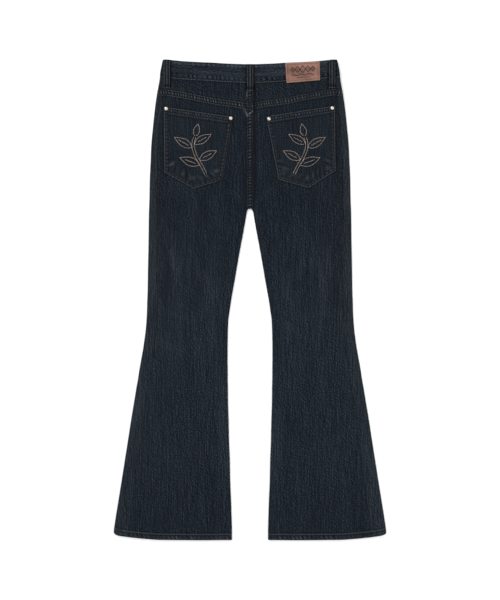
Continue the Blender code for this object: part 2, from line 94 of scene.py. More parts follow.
# soft creases: from, to, half width and height, negative for a trough; x is signed, so each side has its own
CREASES = [  # x0, y0, x1, y1, half_width, height
    (-165.0, 108.0, -172.0, 62.0, 5.5, 0.55), (-176.0, 92.0, -180.0, 20.0, 7.0, -0.45),
    (-149.0, 92.0, -160.0, 34.0, 5.0, 0.45), (-120.0, 96.0, -112.0, 40.0, 6.0, 0.4),
    (-96.0, 58.0, -84.0, 8.0, 6.5, 0.45), (-70.0, 30.0, -120.0, -52.0, 9.0, 0.15),
    (-205.0, -18.0, -120.0, -44.0, 8.0, 0.2), (-130.0, -60.0, -62.0, -42.0, 6.0, -0.25),
    (-60.0, 150.0, -36.0, 100.0, 5.0, -0.4), (-196.0, -80.0, -150.0, -120.0, 9.0, 0.35),
    (-24.0, 196.0, -66.0, 226.0, 6.0, -0.35), (-16.0, 216.0, -44.0, 236.0, 5.0, 0.35),
    (168.0, 112.0, 176.0, 48.0, 6.0, 0.5), (150.0, 86.0, 158.0, 20.0, 5.5, 0.45),
    (184.0, 70.0, 180.0, 10.0, 7.0, -0.45), (112.0, 104.0, 106.0, 44.0, 6.0, 0.4),
    (88.0, 62.0, 80.0, 4.0, 6.5, 0.4), (74.0, 20.0, 118.0, -50.0, 9.0, 0.15),
    (202.0, -22.0, 118.0, -40.0, 8.0, 0.2), (126.0, -62.0, 64.0, -38.0, 6.0, -0.25),
    (58.0, 146.0, 34.0, 98.0, 5.0, -0.4), (22.0, 194.0, 62.0, 222.0, 6.0, -0.35),
    (18.0, 214.0, 48.0, 240.0, 5.0, 0.3),
    (-8.0, 398.0, -22.0, 424.0, 2.6, 0.6), (9.0, 388.0, 20.0, 404.0, 2.6, 0.5),
    (11.5, 330.0, 12.5, 258.0, 2.8, -0.5), (19.0, 322.0, 22.0, 262.0, 5.0, 0.35),
]
POCKETS = {  # side_top, centre_top, centre_low, tip, side_low
    "left": [(-185.4, 416.9), (-37.1, 394.9), (-59.3, 260.1), (-122.0, 241.2), (-184.5, 275.7)],
    "right": [(182.6, 419.4), (35.3, 396.3), (62.4, 260.2), (127.0, 242.7), (184.6, 279.6)],
}
RIVETS = {
    "rivet_left_outer": (-180.9, 412.9), "rivet_left_inner": (-41.5, 392.3),
    "rivet_right_inner": (41.0, 391.0), "rivet_right_outer": (177.6, 414.2),
}
LOOPS = {  # x, top y, lowest y
    "belt_loop_back_left": (-179.4, 517.4, 456.8), "belt_loop_back_centre": (0.5, 508.0, 451.4),
    "belt_loop_back_right": (177.4, 516.8, 457.4),
}
FRONT_LOOPS = {"belt_loop_front_left": -92.0, "belt_loop_front_right": 92.0}
PATCH = [(76.0, 511.0), (150.0, 514.7), (151.0, 474.0), (79.0, 468.0)]


# ------------------------------------------------------------------ numbers
def smooth(t):
    t = np.clip(t, 0.0, 1.0)
    return t * t * (3.0 - 2.0 * t)


def bell(t):
    return np.exp(-t * t)


def hermite(rows, column):
    """A smooth reading of a table, with no overshoot between its rows."""
    x = np.array([r[0] for r in rows], float)
    y = np.array([r[column] for r in rows], float)
    h, d = np.diff(x), np.diff(y) / np.diff(x)
    m = np.zeros(len(x))
    same = d[:-1] * d[1:] > 0
    w1, w2 = 2 * h[1:] + h[:-1], h[1:] + 2 * h[:-1]
    safe = np.where(same, d[:-1], 1.0), np.where(same, d[1:], 1.0)
    m[1:-1] = np.where(same, (w1 + w2) / (w1 / safe[0] + w2 / safe[1]), 0.0)
    m[0], m[-1] = d[0], d[-1]

    def read(at):
        at = np.clip(np.asarray(at, float), x[0], x[-1])
        k = np.clip(np.searchsorted(x, at, side="right") - 1, 0, len(x) - 2)
        t = (at - x[k]) / h[k]
        a, b = y[k], y[k + 1]
        return (
            a * (1 + 2 * t) * (1 - t) ** 2
            + b * t * t * (3 - 2 * t)
            + h[k] * (m[k] * t * (1 - t) ** 2 + m[k + 1] * t * t * (t - 1))
        )

    return read


def straight(rows, column):
    x = [r[0] for r in rows]
    y = [r[column] for r in rows]
    return lambda at: np.interp(at, x, y)


outer = hermite(OUTLINE, 1)
_leg = hermite([r for r in OUTLINE if r[0] <= 197.2], 2)
wrap = straight(WRAP, 1)
low = hermite(LAY, 1)
_hollow = hermite(LAY, 2)
hem_curve = hermite(HEM_EDGE, 1)
waist_curve = hermite(WAIST_TOP, 1)
yoke_curve = hermite(YOKE_SEAM, 1)


def inner(y):
    return np.where(np.asarray(y) > CROTCH_Y, 0.0, _leg(y))


def side_seam(y):
    return outer(y) - wrap(y)


def hem_y(x):
    return hem_curve(np.abs(x)) - 0.4


def yoke_y(x):
    """Lower edge of the yoke; the wearer's left one lies a little lower."""
    return yoke_curve(np.abs(x)) - 1.1 - 0.9 * (1.0 - smooth((np.asarray(x) + 14.0) / 24.0))


def high(y):
    t = smooth((y + 505.0) / 13.0)
    return low(y) + 4.2 * (1.0 - t) + 2.4 * t + _hollow(y)


class Noise:
    """Seeded value noise in one or two directions, a step a unit, from -1 to 1."""

    def __init__(self, seed, size=257):
        self.v = np.random.default_rng(seed).uniform(-1.0, 1.0, (size, size))
        self.n = size

    def __call__(self, a, b=0.0):
        a, b = np.broadcast_arrays(np.asarray(a, float), np.asarray(b, float))
        i, j = np.floor(a).astype(int), np.floor(b).astype(int)
        f, g = a - i, b - j
        f, g = f * f * (3 - 2 * f), g * g * (3 - 2 * g)
        v, n = self.v, self.n
        return (
            v[i % n, j % n] * (1 - f) * (1 - g) + v[(i + 1) % n, j % n] * f * (1 - g)
            + v[i % n, (j + 1) % n] * (1 - f) * g + v[(i + 1) % n, (j + 1) % n] * f * g
        )


N_A, N_B, N_C, N_D = Noise(11), Noise(23), Noise(37), Noise(41)


def swell(x, y):
    total = 0.0
    ax = np.abs(x)
    for fx, fy, half_length, half_width, angle, height in FOLDS:
        a = math.radians(angle)
        along = (ax - fx) * math.sin(a) + (y - fy) * math.cos(a)
        across = (ax - fx) * math.cos(a) - (y - fy) * math.sin(a)
        r = (along / half_length) ** 2 + (across / half_width) ** 2
        total = total + height * np.exp(-1.6 * r)
    return total


def crease(x, y):
    total = 0.0
    for x0, y0, x1, y1, half_width, height in CREASES:
        dx, dy = x1 - x0, y1 - y0
        length = math.hypot(dx, dy)
        t = ((x - x0) * dx + (y - y0) * dy) / length**2
        off = ((x - x0) * dy - (y - y0) * dx) / length
        off = off + 1.6 * np.sin(t * 4.0 + x0)
        ends = smooth((t + 0.25) / 0.45) * smooth((1.25 - t) / 0.45)
        total = total + height * bell(off / half_width) * ends
    return total


def top_z(x, y):
    """Outer face of the upper ply, seams left out."""
    edge = smooth((side_seam(y) - np.abs(x)) / 22.0) * np.where(
        y > CROTCH_Y, 1.0, smooth((np.abs(x) - inner(y)) / 16.0)
    )
    wave = 0.16 * N_A(x / 34.0, y / 70.0) + 0.10 * N_B(x / 15.0, y / 31.0)
    pockets = 1.0 - 0.8 * smooth((y - 236.0) / 20.0) * smooth((424.0 - y) / 12.0) * smooth((np.abs(x) - 30.0) / 8.0)
    return high(y) + (swell(x, y) + crease(x, y) + wave) * edge * pockets * smooth((480.0 - y) / 30.0)


def waves(s, period, seed):
    """Uneven ripples along a seam: about -1 to 1, a ripple about each period."""
    n = N_C if seed % 2 else N_D
    phase = 2 * math.pi * s / period + 2.3 * n(s / (2.7 * period), seed * 3.7) + 1.1 * n(s / (1.1 * period), seed * 1.3 + 50)
    size = 0.76 + 0.62 * n(s / (1.3 * period), seed * 2.1 + 90)
    return np.sin(phase) * np.clip(size, 0.1, 1.45)


def felled(d, s, rows, edge, far, raised, period, ripple, seed, slant=0.35, strength=0.5, rims=(0.28, 0.24)):
    """Height, wear and shade of a lapped seam, d in from its folded edge and s along it, both in mm.

    rows are its two stitch rows, edge and far where its near and far rims show pale."""
    w = waves(s + slant * d, period, seed)
    dash = waves(s + 0.3, 0.9 * period, seed + 7)
    a, b = rows[0], rows[-1]
    middle = np.clip((d - a) / max(b - a, 0.1), 0.0, 1.0)
    between = np.where((d > a) & (d < b), np.sin(math.pi * middle) ** 0.6, 0.0) if b > a else 0.0 * d
    beyond = 0.5 * bell((d - b - 1.6) / 1.6) * (d > b) + 0.45 * bell((d - a) / 1.2) * (d < a)
    z = raised * (1.0 - smooth((d - far - 0.6) / 1.6)) * smooth((d - edge) / 0.6 + 0.3)
    z = z + ripple * w * (between + beyond)
    groove = sum(bell((d - r) / 0.95) for r in rows)
    z = z - 0.26 * groove
    up, down = np.clip(w, 0, 1), np.clip(-w, 0, 1)
    wear = strength * up * (between + 0.6 * beyond) + rims[0] * bell((d - edge) / 0.85) * np.clip(0.66 + 0.75 * dash, 0, 1.5)
    wear = wear + rims[1] * bell((d - far) / 0.8) * np.clip(0.62 + 0.75 * w, 0, 1.5)
    shade = 1.0 * groove + 0.95 * down * between + 0.6 * bell((d - far - 2.7) / 1.2) + 0.55 * bell((d - edge + 1.8) / 1.1)
    return z, wear, shade


NICKS = [  # from, to, strength: short pale creases at the point of the yoke and beside the centre seam above it
    ((-14.5, 415.0), (-10.8, 410.5), 0.38), ((-10.8, 410.5), (-6.4, 399.5), 0.58), ((5.8, 408.6), (-4.8, 397.6), 0.62),
    ((-6.6, 450.0), (-6.8, 441.0), 0.40), ((-6.8, 441.0), (-9.4, 434.0), 0.22), ((-5.2, 396.8), (-9.0, 396.0), 0.22),
]


def nicks(x, y):
    """Short pale creases at the point of the yoke."""
    total = 0.0
    for (x0, y0), (x1, y1), size in NICKS:
        d, along = to_segments(x, y, [(x0, y0), (x1, y1)], closed=False)
        total = total + size * bell(d / 1.35) * np.clip(0.85 + 0.4 * N_C(x / 2.6, y / 2.6), 0, 1.2)
    return np.clip(total, 0.0, 0.75)


def painted_fold_shade(x, y):
    """Painted shade of folds beside the centre seam below the point of the yoke, and just under the yoke's edge."""
    total = 0.42 * bell((x + 8.6) / 2.6) * smooth((398.0 - y) / 6.0) * smooth((y - 366.0) / 14.0)
    total = total + 0.22 * bell((x + 24.0) / 9.0) * bell((yoke_y(x) - y - 4.0) / 3.4)
    return total + 0.2 * bell((x + 9.0) / 2.2) * smooth((366.0 - y) / 20.0)


STREAKS = [  # distance from the middle, y, half length, lean, strength: faded lengthwise creases, alike on both legs
    (132.0, 88.0, 27.0, -0.06, 1.0), (163.0, 82.0, 24.0, 0.03, 0.7), (98.0, 136.0, 22.0, 0.05, 0.55), (201.0, 118.0, 46.0, -0.08, 0.7),
    (133.0, 48.0, 20.0, 0.04, 0.45), (176.0, 18.0, 30.0, 0.0, 0.5), (158.0, -34.0, 26.0, 0.04, 0.45), (81.0, -73.0, 30.0, 0.05, 0.75),
    (197.0, -66.0, 30.0, -0.03, 0.5), (119.0, -110.0, 30.0, 0.03, 0.85), (150.0, -80.0, 24.0, 0.0, 0.5), (181.0, -100.0, 22.0, 0.04, 0.45),
    (197.0, -124.0, 26.0, 0.05, 0.4), (111.0, -156.0, 26.0, 0.0, 0.5), (114.0, -279.0, 28.0, -0.03, 0.55), (71.0, -266.0, 26.0, 0.0, 0.45),
    (101.0, -378.0, 30.0, 0.02, 0.5), (214.0, -380.0, 30.0, 0.16, 0.4), (90.0, 128.0, 20.0, 0.05, -0.6), (197.0, 112.0, 20.0, 0.0, -0.3),
    (188.0, 11.0, 26.0, 0.0, -0.6), (142.0, -28.0, 26.0, 0.03, -0.5), (120.0, 6.0, 24.0, 0.03, -0.5), (94.0, -90.0, 26.0, 0.04, -0.5),
    (207.0, -114.0, 24.0, 0.0, -0.5), (110.0, -391.0, 28.0, 0.0, -0.45),
]


def streaks(x, y):
    """Faded creases that run down the legs, x measured from the middle."""
    total = 0.0 * x
    for x0, y0, half, lean, size in STREAKS:
        q = (y - y0) / half
        d = x - x0 - lean * (y - y0) - 0.8 * N_C(y / 17.0, x0)
        total = total + size * bell(d / 2.3) * np.exp(-(q**4)) * np.clip(0.8 + 0.5 * N_D(y / 9.0, x0 + 3.0), 0.2, 1.3)
    return total


def round_pockets(x, y):
    """Contact shade on the cloth just outside the patch pockets."""
    total = 0.0 * x
    for corners in POCKETS.values():
        d, _ = to_segments(x, y, corners)
        total = total + 0.36 * bell((d - 2.3) / 1.5)
    return total


def beside_loops(x, y):
    """Soft contact shade on the cloth at both sides of the back belt loops and under their feet."""
    total = 0.0
    for at, top, foot in LOOPS.values():
        t = x - at
        ends = smooth((y - foot + 1.0) / 3.0)
        total = total + (1.25 * bell((t - 8.2) / 1.6) + (0.5 if at < -100 else 0.95) * bell((t + 8.9) / 1.5)) * ends
        total = total + 0.5 * bell((y - foot + 2.0) / 1.3) * bell(t / 7.0)
    return total


def to_segments(x, y, corners, closed=True):
    """Least distance to a polyline and the place along it."""
    best = np.full(np.broadcast(x, y).shape, 1e9)
    along = np.zeros_like(best)
    start = 0.0
    pairs = list(zip(corners, corners[1:] + (corners[:1] if closed else [])))
    for (x0, y0), (x1, y1) in pairs:
        dx, dy = x1 - x0, y1 - y0
        length = math.hypot(dx, dy)
        t = np.clip(((x - x0) * dx + (y - y0) * dy) / length**2, 0, 1)
        d = np.hypot(x - x0 - t * dx, y - y0 - t * dy)
        near = d < best
        best = np.where(near, d, best)
        along = np.where(near, start + t * length, along)
        start += length
    return best, along


# ------------------------------------------------------------------ meshes
def fill(mesh, points, quads, values):
    n = len(points)
    mesh.vertices.add(n)
    mesh.vertices.foreach_set("co", np.ascontiguousarray(points * MM, dtype=np.float32).ravel())
    k = quads.shape[1]
    mesh.loops.add(quads.size)
    mesh.loops.foreach_set("vertex_index", np.ascontiguousarray(quads, dtype=np.int32).ravel())
    mesh.polygons.add(len(quads))
    mesh.polygons.foreach_set("loop_start", np.arange(0, quads.size, k, dtype=np.int32))
    mesh.update(calc_edges=True)
    mesh.polygons.foreach_set("use_smooth", np.ones(len(quads), dtype=bool))
    for name, v in values.items():
        v = np.broadcast_to(v, (n,)) if np.ndim(v) == 0 else np.asarray(v).ravel()
        mesh.attributes.new(name, "FLOAT", "POINT").data.foreach_set("value", np.ascontiguousarray(v, dtype=np.float32))
    mesh.validate()


def made(name, mesh, material, nodes=()):
    o = bpy.data.objects.new(name, mesh)
    bpy.context.scene.collection.objects.link(o)
    mesh.materials.append(material)
    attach(o, "root")
    if nodes:
        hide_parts(*nodes)
    return o


def grid(name, p, material, nodes=(), flip=False, values=None, closed=False):
    """p is rows x columns x 3, in mm."""
    r, c = p.shape[:2]
    index = np.arange(r * c).reshape(r, c)
    if closed:
        index = np.concatenate([index, index[:, :1]], axis=1)
    q = np.stack([index[:-1, :-1], index[:-1, 1:], index[1:, 1:], index[1:, :-1]], axis=-1).reshape(-1, 4)
    if flip:
        q = q[:, ::-1]
    mesh = bpy.data.meshes.new(name)
    fill(mesh, p.reshape(-1, 3), q, {k: np.asarray(v) for k, v in (values or {}).items()})
    return made(name, mesh, material, nodes)


def spaced(*runs):
    """Places along a line from runs of (start, end, step), each end shared with the next start."""
    out = []
    for a, b, step in runs:
        n = max(1, round(abs(b - a) / step))
        out += list(np.linspace(a, b, n + 1)[(1 if out else 0):])
    return np.array(out)


def follow_rows(y0, x, top_edge=None, reference=436.0):
    y = y0 + np.where(y0 < -300.0, (hem_y(x) + 518.8) * (1.0 - smooth(np.abs(y0 + 518.8) / 160.0)), 0.0)
    if top_edge is not None:
        y = y + np.where(
            y0 > 259.3, (top_edge(x) - reference) * (1.0 - smooth(np.abs(y0 - reference) / (reference - 255.0))), 0.0
        )
    return y


def hem_ripples(x, y, seed):
    d = y - hem_y(x)
    w = waves(x + 0.55 * d, 9.2, seed)
    dash = waves(x, 5.4, seed + 5)
    inside = np.where((d >= 0) & (d < 9.8), np.sin(math.pi * np.clip((d + 2.5) / 13.0, 0, 1)) ** 0.8, 0.0)
    above = 0.4 * bell((d - 11.5) / 4.5) * (d >= 11.5)
    groove = bell((d - 9.9) / 0.9)
    z = 0.34 * w * (inside + above) - 0.26 * groove + 0.35 * (1 - smooth((d - 11.6) / 2.0))
    w = w * np.clip(0.75 + 0.6 * N_C(x / 13.0, seed * 3.1), 0.15, 1.25)
    wear = 0.31 * np.clip(w, 0, 1) * inside + 0.05 * bell((d - 1.4) / 1.3) * (0.6 + 0.4 * w) + 0.30 * bell((d - 12.6) / 1.0) * (0.75 + 0.45 * dash)
    shade = 0.6 * groove + 0.55 * np.clip(-w, 0, 1) * inside + 0.5 * bell((d - 16.0) / 1.3)
    near = smooth((26.0 - d) / 6.0)
    return z * near, wear * near, shade * near


def folded_ends(p, normal, values, radius, inside, hem):
    """Puts rows before a panel's first: round the folded edge and back up inside it."""
    first, n, edge = p[0], normal[0], hem
    rows, vals = [], {k: [] for k in values}
    for y in inside:
        q = first - 2 * radius * n
        q[:, 1] = edge + y
        rows.append(q)
    for a in (170, 145, 120, 90, 65, 40, 20):
        t = math.radians(a)
        q = first - radius * (1 - math.cos(t)) * n
        q[:, 1] = edge + radius - radius * math.sin(t)
        rows.append(q)
    for k in values:
        vals[k] = np.concatenate([np.repeat(values[k][:1], len(rows), axis=0) * 0.6, values[k]])
    return np.concatenate([np.array(rows), p]), vals


# ------------------------------------------------------------------ materials
def new_material(name):
    m = bpy.data.materials.new(name)
    m.use_nodes = True
    nt = m.node_tree
    return m, nt, nt.nodes["Principled BSDF"]


class Net:
    """Short ways to add and join shader nodes."""

    def __init__(self, nt):
        self.nt = nt

    def node(self, kind, **sets):
        n = self.nt.nodes.new(kind)
        for k, v in sets.items():
            setattr(n, k, v)
        return n

    def put(self, socket, value):
        if isinstance(value, bpy.types.NodeSocket):
            self.nt.links.new(value, socket)
        else:
            socket.default_value = value

    def math(self, op, a, b=None, c=None, clamp=False):
        n = self.node("ShaderNodeMath", operation=op, use_clamp=clamp)
        for k, v in enumerate((a, b, c)):
            if v is not None:
                self.put(n.inputs[k], v)
        return n.outputs[0]

    def mix(self, share, a, b, blend="MIX"):
        n = self.node("ShaderNodeMix", data_type="RGBA", blend_type=blend)
        self.put(n.inputs[0], share)
        self.put(n.inputs[6], a)
        self.put(n.inputs[7], b)
        return n.outputs[2]

    def range(self, v, a, b, c, d):
        n = self.node("ShaderNodeMapRange", clamp=True)
        for k, x in enumerate((v, a, b, c, d)):
            self.put(n.inputs[k], x)
        return n.outputs[0]

    def attribute(self, name):
        return self.node("ShaderNodeAttribute", attribute_name=name).outputs["Fac"]

    def place(self, scale, turn=(0, 0, 0), shift=(0, 0, 0)):
        t = self.node("ShaderNodeTexCoord")
        m = self.node("ShaderNodeMapping")
        m.inputs["Scale"].default_value = scale
        m.inputs["Rotation"].default_value = turn
        m.inputs["Location"].default_value = shift
        self.nt.links.new(t.outputs["Object"], m.inputs["Vector"])
        return m.outputs[0]

    def noise(self, vector, detail=2.0, rough=0.5, scale=1.0):
        n = self.node("ShaderNodeTexNoise")
        n.inputs["Scale"].default_value = scale
        n.inputs["Detail"].default_value = detail
        n.inputs["Roughness"].default_value = rough
        self.nt.links.new(vector, n.inputs["Vector"])
        return n.outputs["Fac"]


def rgb(r, g, b):
    """Linear colour from 0-255 display values."""
    def one(v):
        v /= 255.0
        return v / 12.92 if v <= 0.04045 else ((v + 0.055) / 1.055) ** 2.4
    return (one(r), one(g), one(b), 1.0)


def denim(name, warp="Y", level=1.0, brown=0.0, shift=0.0, contrast=1.0, run=1.0, lines=1.0, grain=1.0):
    """Slubby dark twill: short and long streaks along the warp, speckle, pale worn ridges, and painted shade in stitch
    grooves, ripple troughs and beside other parts.
    """
    m, nt, p = new_material(name)
    n = Net(nt)

    def lay(across, along, deep=60.0, move=0.0, step=(0.0, 0.0)):
        along = min(along * run, across)
        s = (across, along, deep) if warp == "Y" else (along, across, deep)
        return n.place(s, shift=(shift + move + s[0] * step[0], shift * 0.7 - move + s[1] * step[1], 0))

    def crisp(across, along, deep, move, sides, detail=0.0):
        """Grain that changes sharply from one thread group to the next: noise less its neighbours."""
        v = n.noise(lay(across, along, deep, move), detail, 0.5)
        for share, step in sides:
            near = n.noise(lay(across, along, deep, move, step), detail, 0.5)
            v = n.math("MULTIPLY_ADD", n.math("SUBTRACT", near, 0.5), -share, v)
        return v

    PITCH = 0.00215
    ACROSS = (PITCH, 0.0) if warp == "Y" else (0.0, PITCH)
    BOTH = ((0.5, (PITCH, 0.0)), (0.5, (0.0, PITCH)))

    short = crisp(700, 62, 80, 0.0, ((0.6, ACROSS),), 1.0)
    streak = crisp(620, 22, 60, 3.0, ((0.4, ACROSS),), 1.0)
    long = n.noise(lay(300, 8, 30, move=5.0), 1.0, 0.5)
    speck = crisp(430, 430, 300, 7.0, BOTH)
    fleck = crisp(540, 540, 300, 9.0, BOTH)
    cloud = n.noise(lay(42, 6, 10, move=11.0), 2.0, 0.5)
    tint = crisp(430, 430, 300, 17.0, BOTH)
    hue = crisp(450, 450, 300, 29.0, BOTH)
    nep = n.noise(lay(560, 440, 300, move=31.0), 0.0, 0.5)

    def add(v, x, k):
        return n.math("MULTIPLY_ADD", n.math("SUBTRACT", x, 0.5), k * contrast, v)

    v = add(0.54, short, 0.85 * lines)
    v = add(v, streak, 0.82 * lines)
    v = add(v, long, 0.3 * lines)
    v = add(v, speck, 0.95 * grain)
    v = add(v, fleck, 0.82 * grain)
    v = add(v, cloud, 0.16)
    v = add(v, n.noise(lay(150, 60, 40, move=13.0), 1.0, 0.5), 0.16)
    v = n.math("ADD", v, n.range(nep, 0.66, 0.82, 0.0, 0.3))
    v = n.math("MULTIPLY_ADD", n.attribute("tone"), 0.22, v)
    ramp = n.node("ShaderNodeValToRGB")
    e = ramp.color_ramp.elements
    e.new(0.4)
    e.new(0.8)
    for k, (at, c) in zip(e, ((0.0, (6.6, 10.8, 18.0)), (0.4, (18.4, 24.0, 31.2)), (0.8, (38.6, 44.7, 50.5)), (1.0, (50.0, 56.4, 61.6)))):
        k.position = at
        k.color = tuple(q * level if i < 3 else 1.0 for i, q in enumerate(rgb(*c)))
    n.put(ramp.inputs[0], n.math("MULTIPLY", v, 0.8))
    colour = ramp.outputs[0]
    rusty = n.range(tint, 0.50, 0.70, 0.0, 0.85)
    warm = n.mix(1.0, colour, (1.42, 1.10, 0.88, 1.0), blend="MULTIPLY")
    cool = n.mix(n.range(tint, 0.5, 0.30, 0.0, 0.8), colour, (0.58, 1.02, 1.25, 1.0), blend="MULTIPLY")
    colour = n.mix(n.math("ADD", rusty, n.math("MULTIPLY_ADD", n.attribute("brown"), 0.5, brown), clamp=True), cool, warm)
    colour = n.mix(n.range(hue, 0.5, 0.7, 0.0, 1.0), colour, (0.87, 1.11, 0.92, 1.0), blend="MULTIPLY")
    colour = n.mix(n.range(hue, 0.5, 0.3, 0.0, 1.0), colour, (1.13, 0.90, 1.08, 1.0), blend="MULTIPLY")
    wear = n.attribute("wear")
    scuff = n.range(n.noise(lay(760, 420, 300, move=23.0), 2.0, 0.6), 0.36, 0.66, 0.55, 1.35)
    colour = n.mix(n.math("MULTIPLY", wear, scuff, clamp=True), colour, rgb(101, 108, 112))
    # painted shade: darkens the cloth toward near black where the shade attribute marks grooves, troughs, creases and
    # cloth under or beside other parts
    colour = n.mix(n.math("MULTIPLY", n.attribute("shade"), 0.9, clamp=True), colour, rgb(5, 6, 9))
    n.put(p.inputs["Base Color"], colour)
    # twill rib and slubs
    rib = n.node("ShaderNodeTexWave", wave_type="BANDS", bands_direction="X", wave_profile="SIN")
    turn = 0.62 if warp == "Y" else 0.62 + math.pi / 2
    n.nt.links.new(n.place((1, 1, 0.2), turn=(0, 0, turn)), rib.inputs["Vector"])
    rib.inputs["Scale"].default_value = 205.0
    rib.inputs["Distortion"].default_value = 0.9
    rib.inputs["Detail"].default_value = 1.0
    rib.inputs["Detail Scale"].default_value = 3.0
    height = n.math("MULTIPLY_ADD", rib.outputs["Fac"], 0.5, n.math("MULTIPLY", short, 1.0))
    height = n.math("MULTIPLY_ADD", speck, 0.9, height)
    b = n.node("ShaderNodeBump")
    b.inputs["Strength"].default_value = 0.6
    b.inputs["Distance"].default_value = 0.00025
    n.put(b.inputs["Height"], height)
    n.put(p.inputs["Normal"], b.outputs[0])
    n.put(p.inputs["Roughness"], n.range(v, 0.0, 1.0, 0.95, 0.8))
    p.inputs["Specular IOR Level"].default_value = 0.05
    p.inputs["Sheen Weight"].default_value = 0.006
    p.inputs["Sheen Roughness"].default_value = 0.5
    p.inputs["Sheen Tint"].default_value = (0.75, 0.82, 1.0, 1.0)
    return m


def thread(name, colour, second, spec=0.3, sheen=0.1):
    m, nt, p = new_material(name)
    n = Net(nt)
    twist = n.noise(n.place((1600, 1600, 900)), 2.0, 0.5)
    tone = n.attribute("tone")
    n.put(p.inputs["Base Color"], n.mix(n.math("MULTIPLY_ADD", twist, 0.7, n.math("MULTIPLY", tone, 0.5), clamp=True), rgb(*colour), rgb(*second)))
    n.put(p.inputs["Roughness"], n.range(twist, 0.3, 0.7, 0.5, 0.68))
    b = n.node("ShaderNodeBump")
    b.inputs["Strength"].default_value = 0.5
    b.inputs["Distance"].default_value = 0.0001
    n.put(b.inputs["Height"], twist)
    n.put(p.inputs["Normal"], b.outputs[0])
    p.inputs["Specular IOR Level"].default_value = spec
    p.inputs["Sheen Weight"].default_value = sheen
    return m


def leather(name):
    m, nt, p = new_material(name)
    n = Net(nt)
    grain = n.noise(n.place((620, 620, 300)), 3.0, 0.6)
    cloud = n.noise(n.place((38, 60, 20), shift=(2, 1, 0)), 3.0, 0.55)
    fleck = n.noise(n.place((210, 150, 90), shift=(5, 3, 0)), 2.0, 0.5)
    c = n.mix(n.range(cloud, 0.35, 0.66, 0.0, 1.0), rgb(103, 73, 62), rgb(134, 97, 84))
    c = n.mix(n.range(fleck, 0.5, 0.75, 0.0, 0.45), c, rgb(90, 63, 54))
    c = n.mix(n.math("MULTIPLY", n.attribute("shade"), 1.0, clamp=True), c, rgb(38, 22, 19))
    c = n.mix(n.math("MULTIPLY", n.attribute("wear"), 0.6, clamp=True), c, rgb(164, 128, 112))
    n.put(p.inputs["Base Color"], c)
    n.put(p.inputs["Roughness"], n.range(grain, 0.3, 0.7, 0.55, 0.78))
    b = n.node("ShaderNodeBump")
    b.inputs["Strength"].default_value = 0.6
    b.inputs["Distance"].default_value = 0.0003
    n.put(b.inputs["Height"], n.math("MULTIPLY_ADD", grain, 1.0, n.math("MULTIPLY", fleck, 0.8)))
    n.put(p.inputs["Normal"], b.outputs[0])
    p.inputs["Specular IOR Level"].default_value = 0.3
    return m


def metal(name, colour, dull):
    m, nt, p = new_material(name)
    n = Net(nt)
    cloud = n.noise(n.place((520, 520, 520)), 3.0, 0.6)
    c = n.mix(n.range(cloud, 0.35, 0.7, 0.0, 1.0), rgb(*colour), rgb(*dull))
    # painted reflection: the shade attribute darkens the rivets' flanges
    n.put(p.inputs["Base Color"], n.mix(n.attribute("shade"), c, rgb(44, 42, 42)))
    n.put(p.inputs["Roughness"], n.range(cloud, 0.3, 0.7, 0.24, 0.42))
    p.inputs["Metallic"].default_value = 1.0
    b = n.node("ShaderNodeBump")
    b.inputs["Strength"].default_value = 0.2
    b.inputs["Distance"].default_value = 0.0001
    n.put(b.inputs["Height"], cloud)
    n.put(p.inputs["Normal"], b.outputs[0])
    return m


DENIM_BACK = denim("denim_back")
DENIM_YOKE = denim("denim_yoke", level=0.825, brown=-0.2, shift=1.2, contrast=1.3, lines=0.7, grain=0.98)
DENIM_FRONT = denim("denim_front", level=1.04, brown=0.14, shift=2.3)
DENIM_BAND = denim("denim_waistband", warp="X", level=1.12, shift=4.1, contrast=1.25, run=3.5)
DENIM_LOOP = denim("denim_loop", level=0.82, shift=6.7)
DENIM_POCKET = denim("denim_pocket", level=0.93, shift=9.4, lines=0.75)
THREAD = thread("thread_navy", (19, 11, 14), (38, 25, 28), spec=0.12, sheen=0.02)
THREAD_BEIGE = thread("thread_beige", (188, 162, 145), (230, 206, 190), spec=0.35)
LEATHER = leather("leather_patch")
RIVET = metal("rivet_metal", (232, 226, 212), (188, 180, 166))
TAPE = denim("zip_tape", level=1.1, shift=12.0)


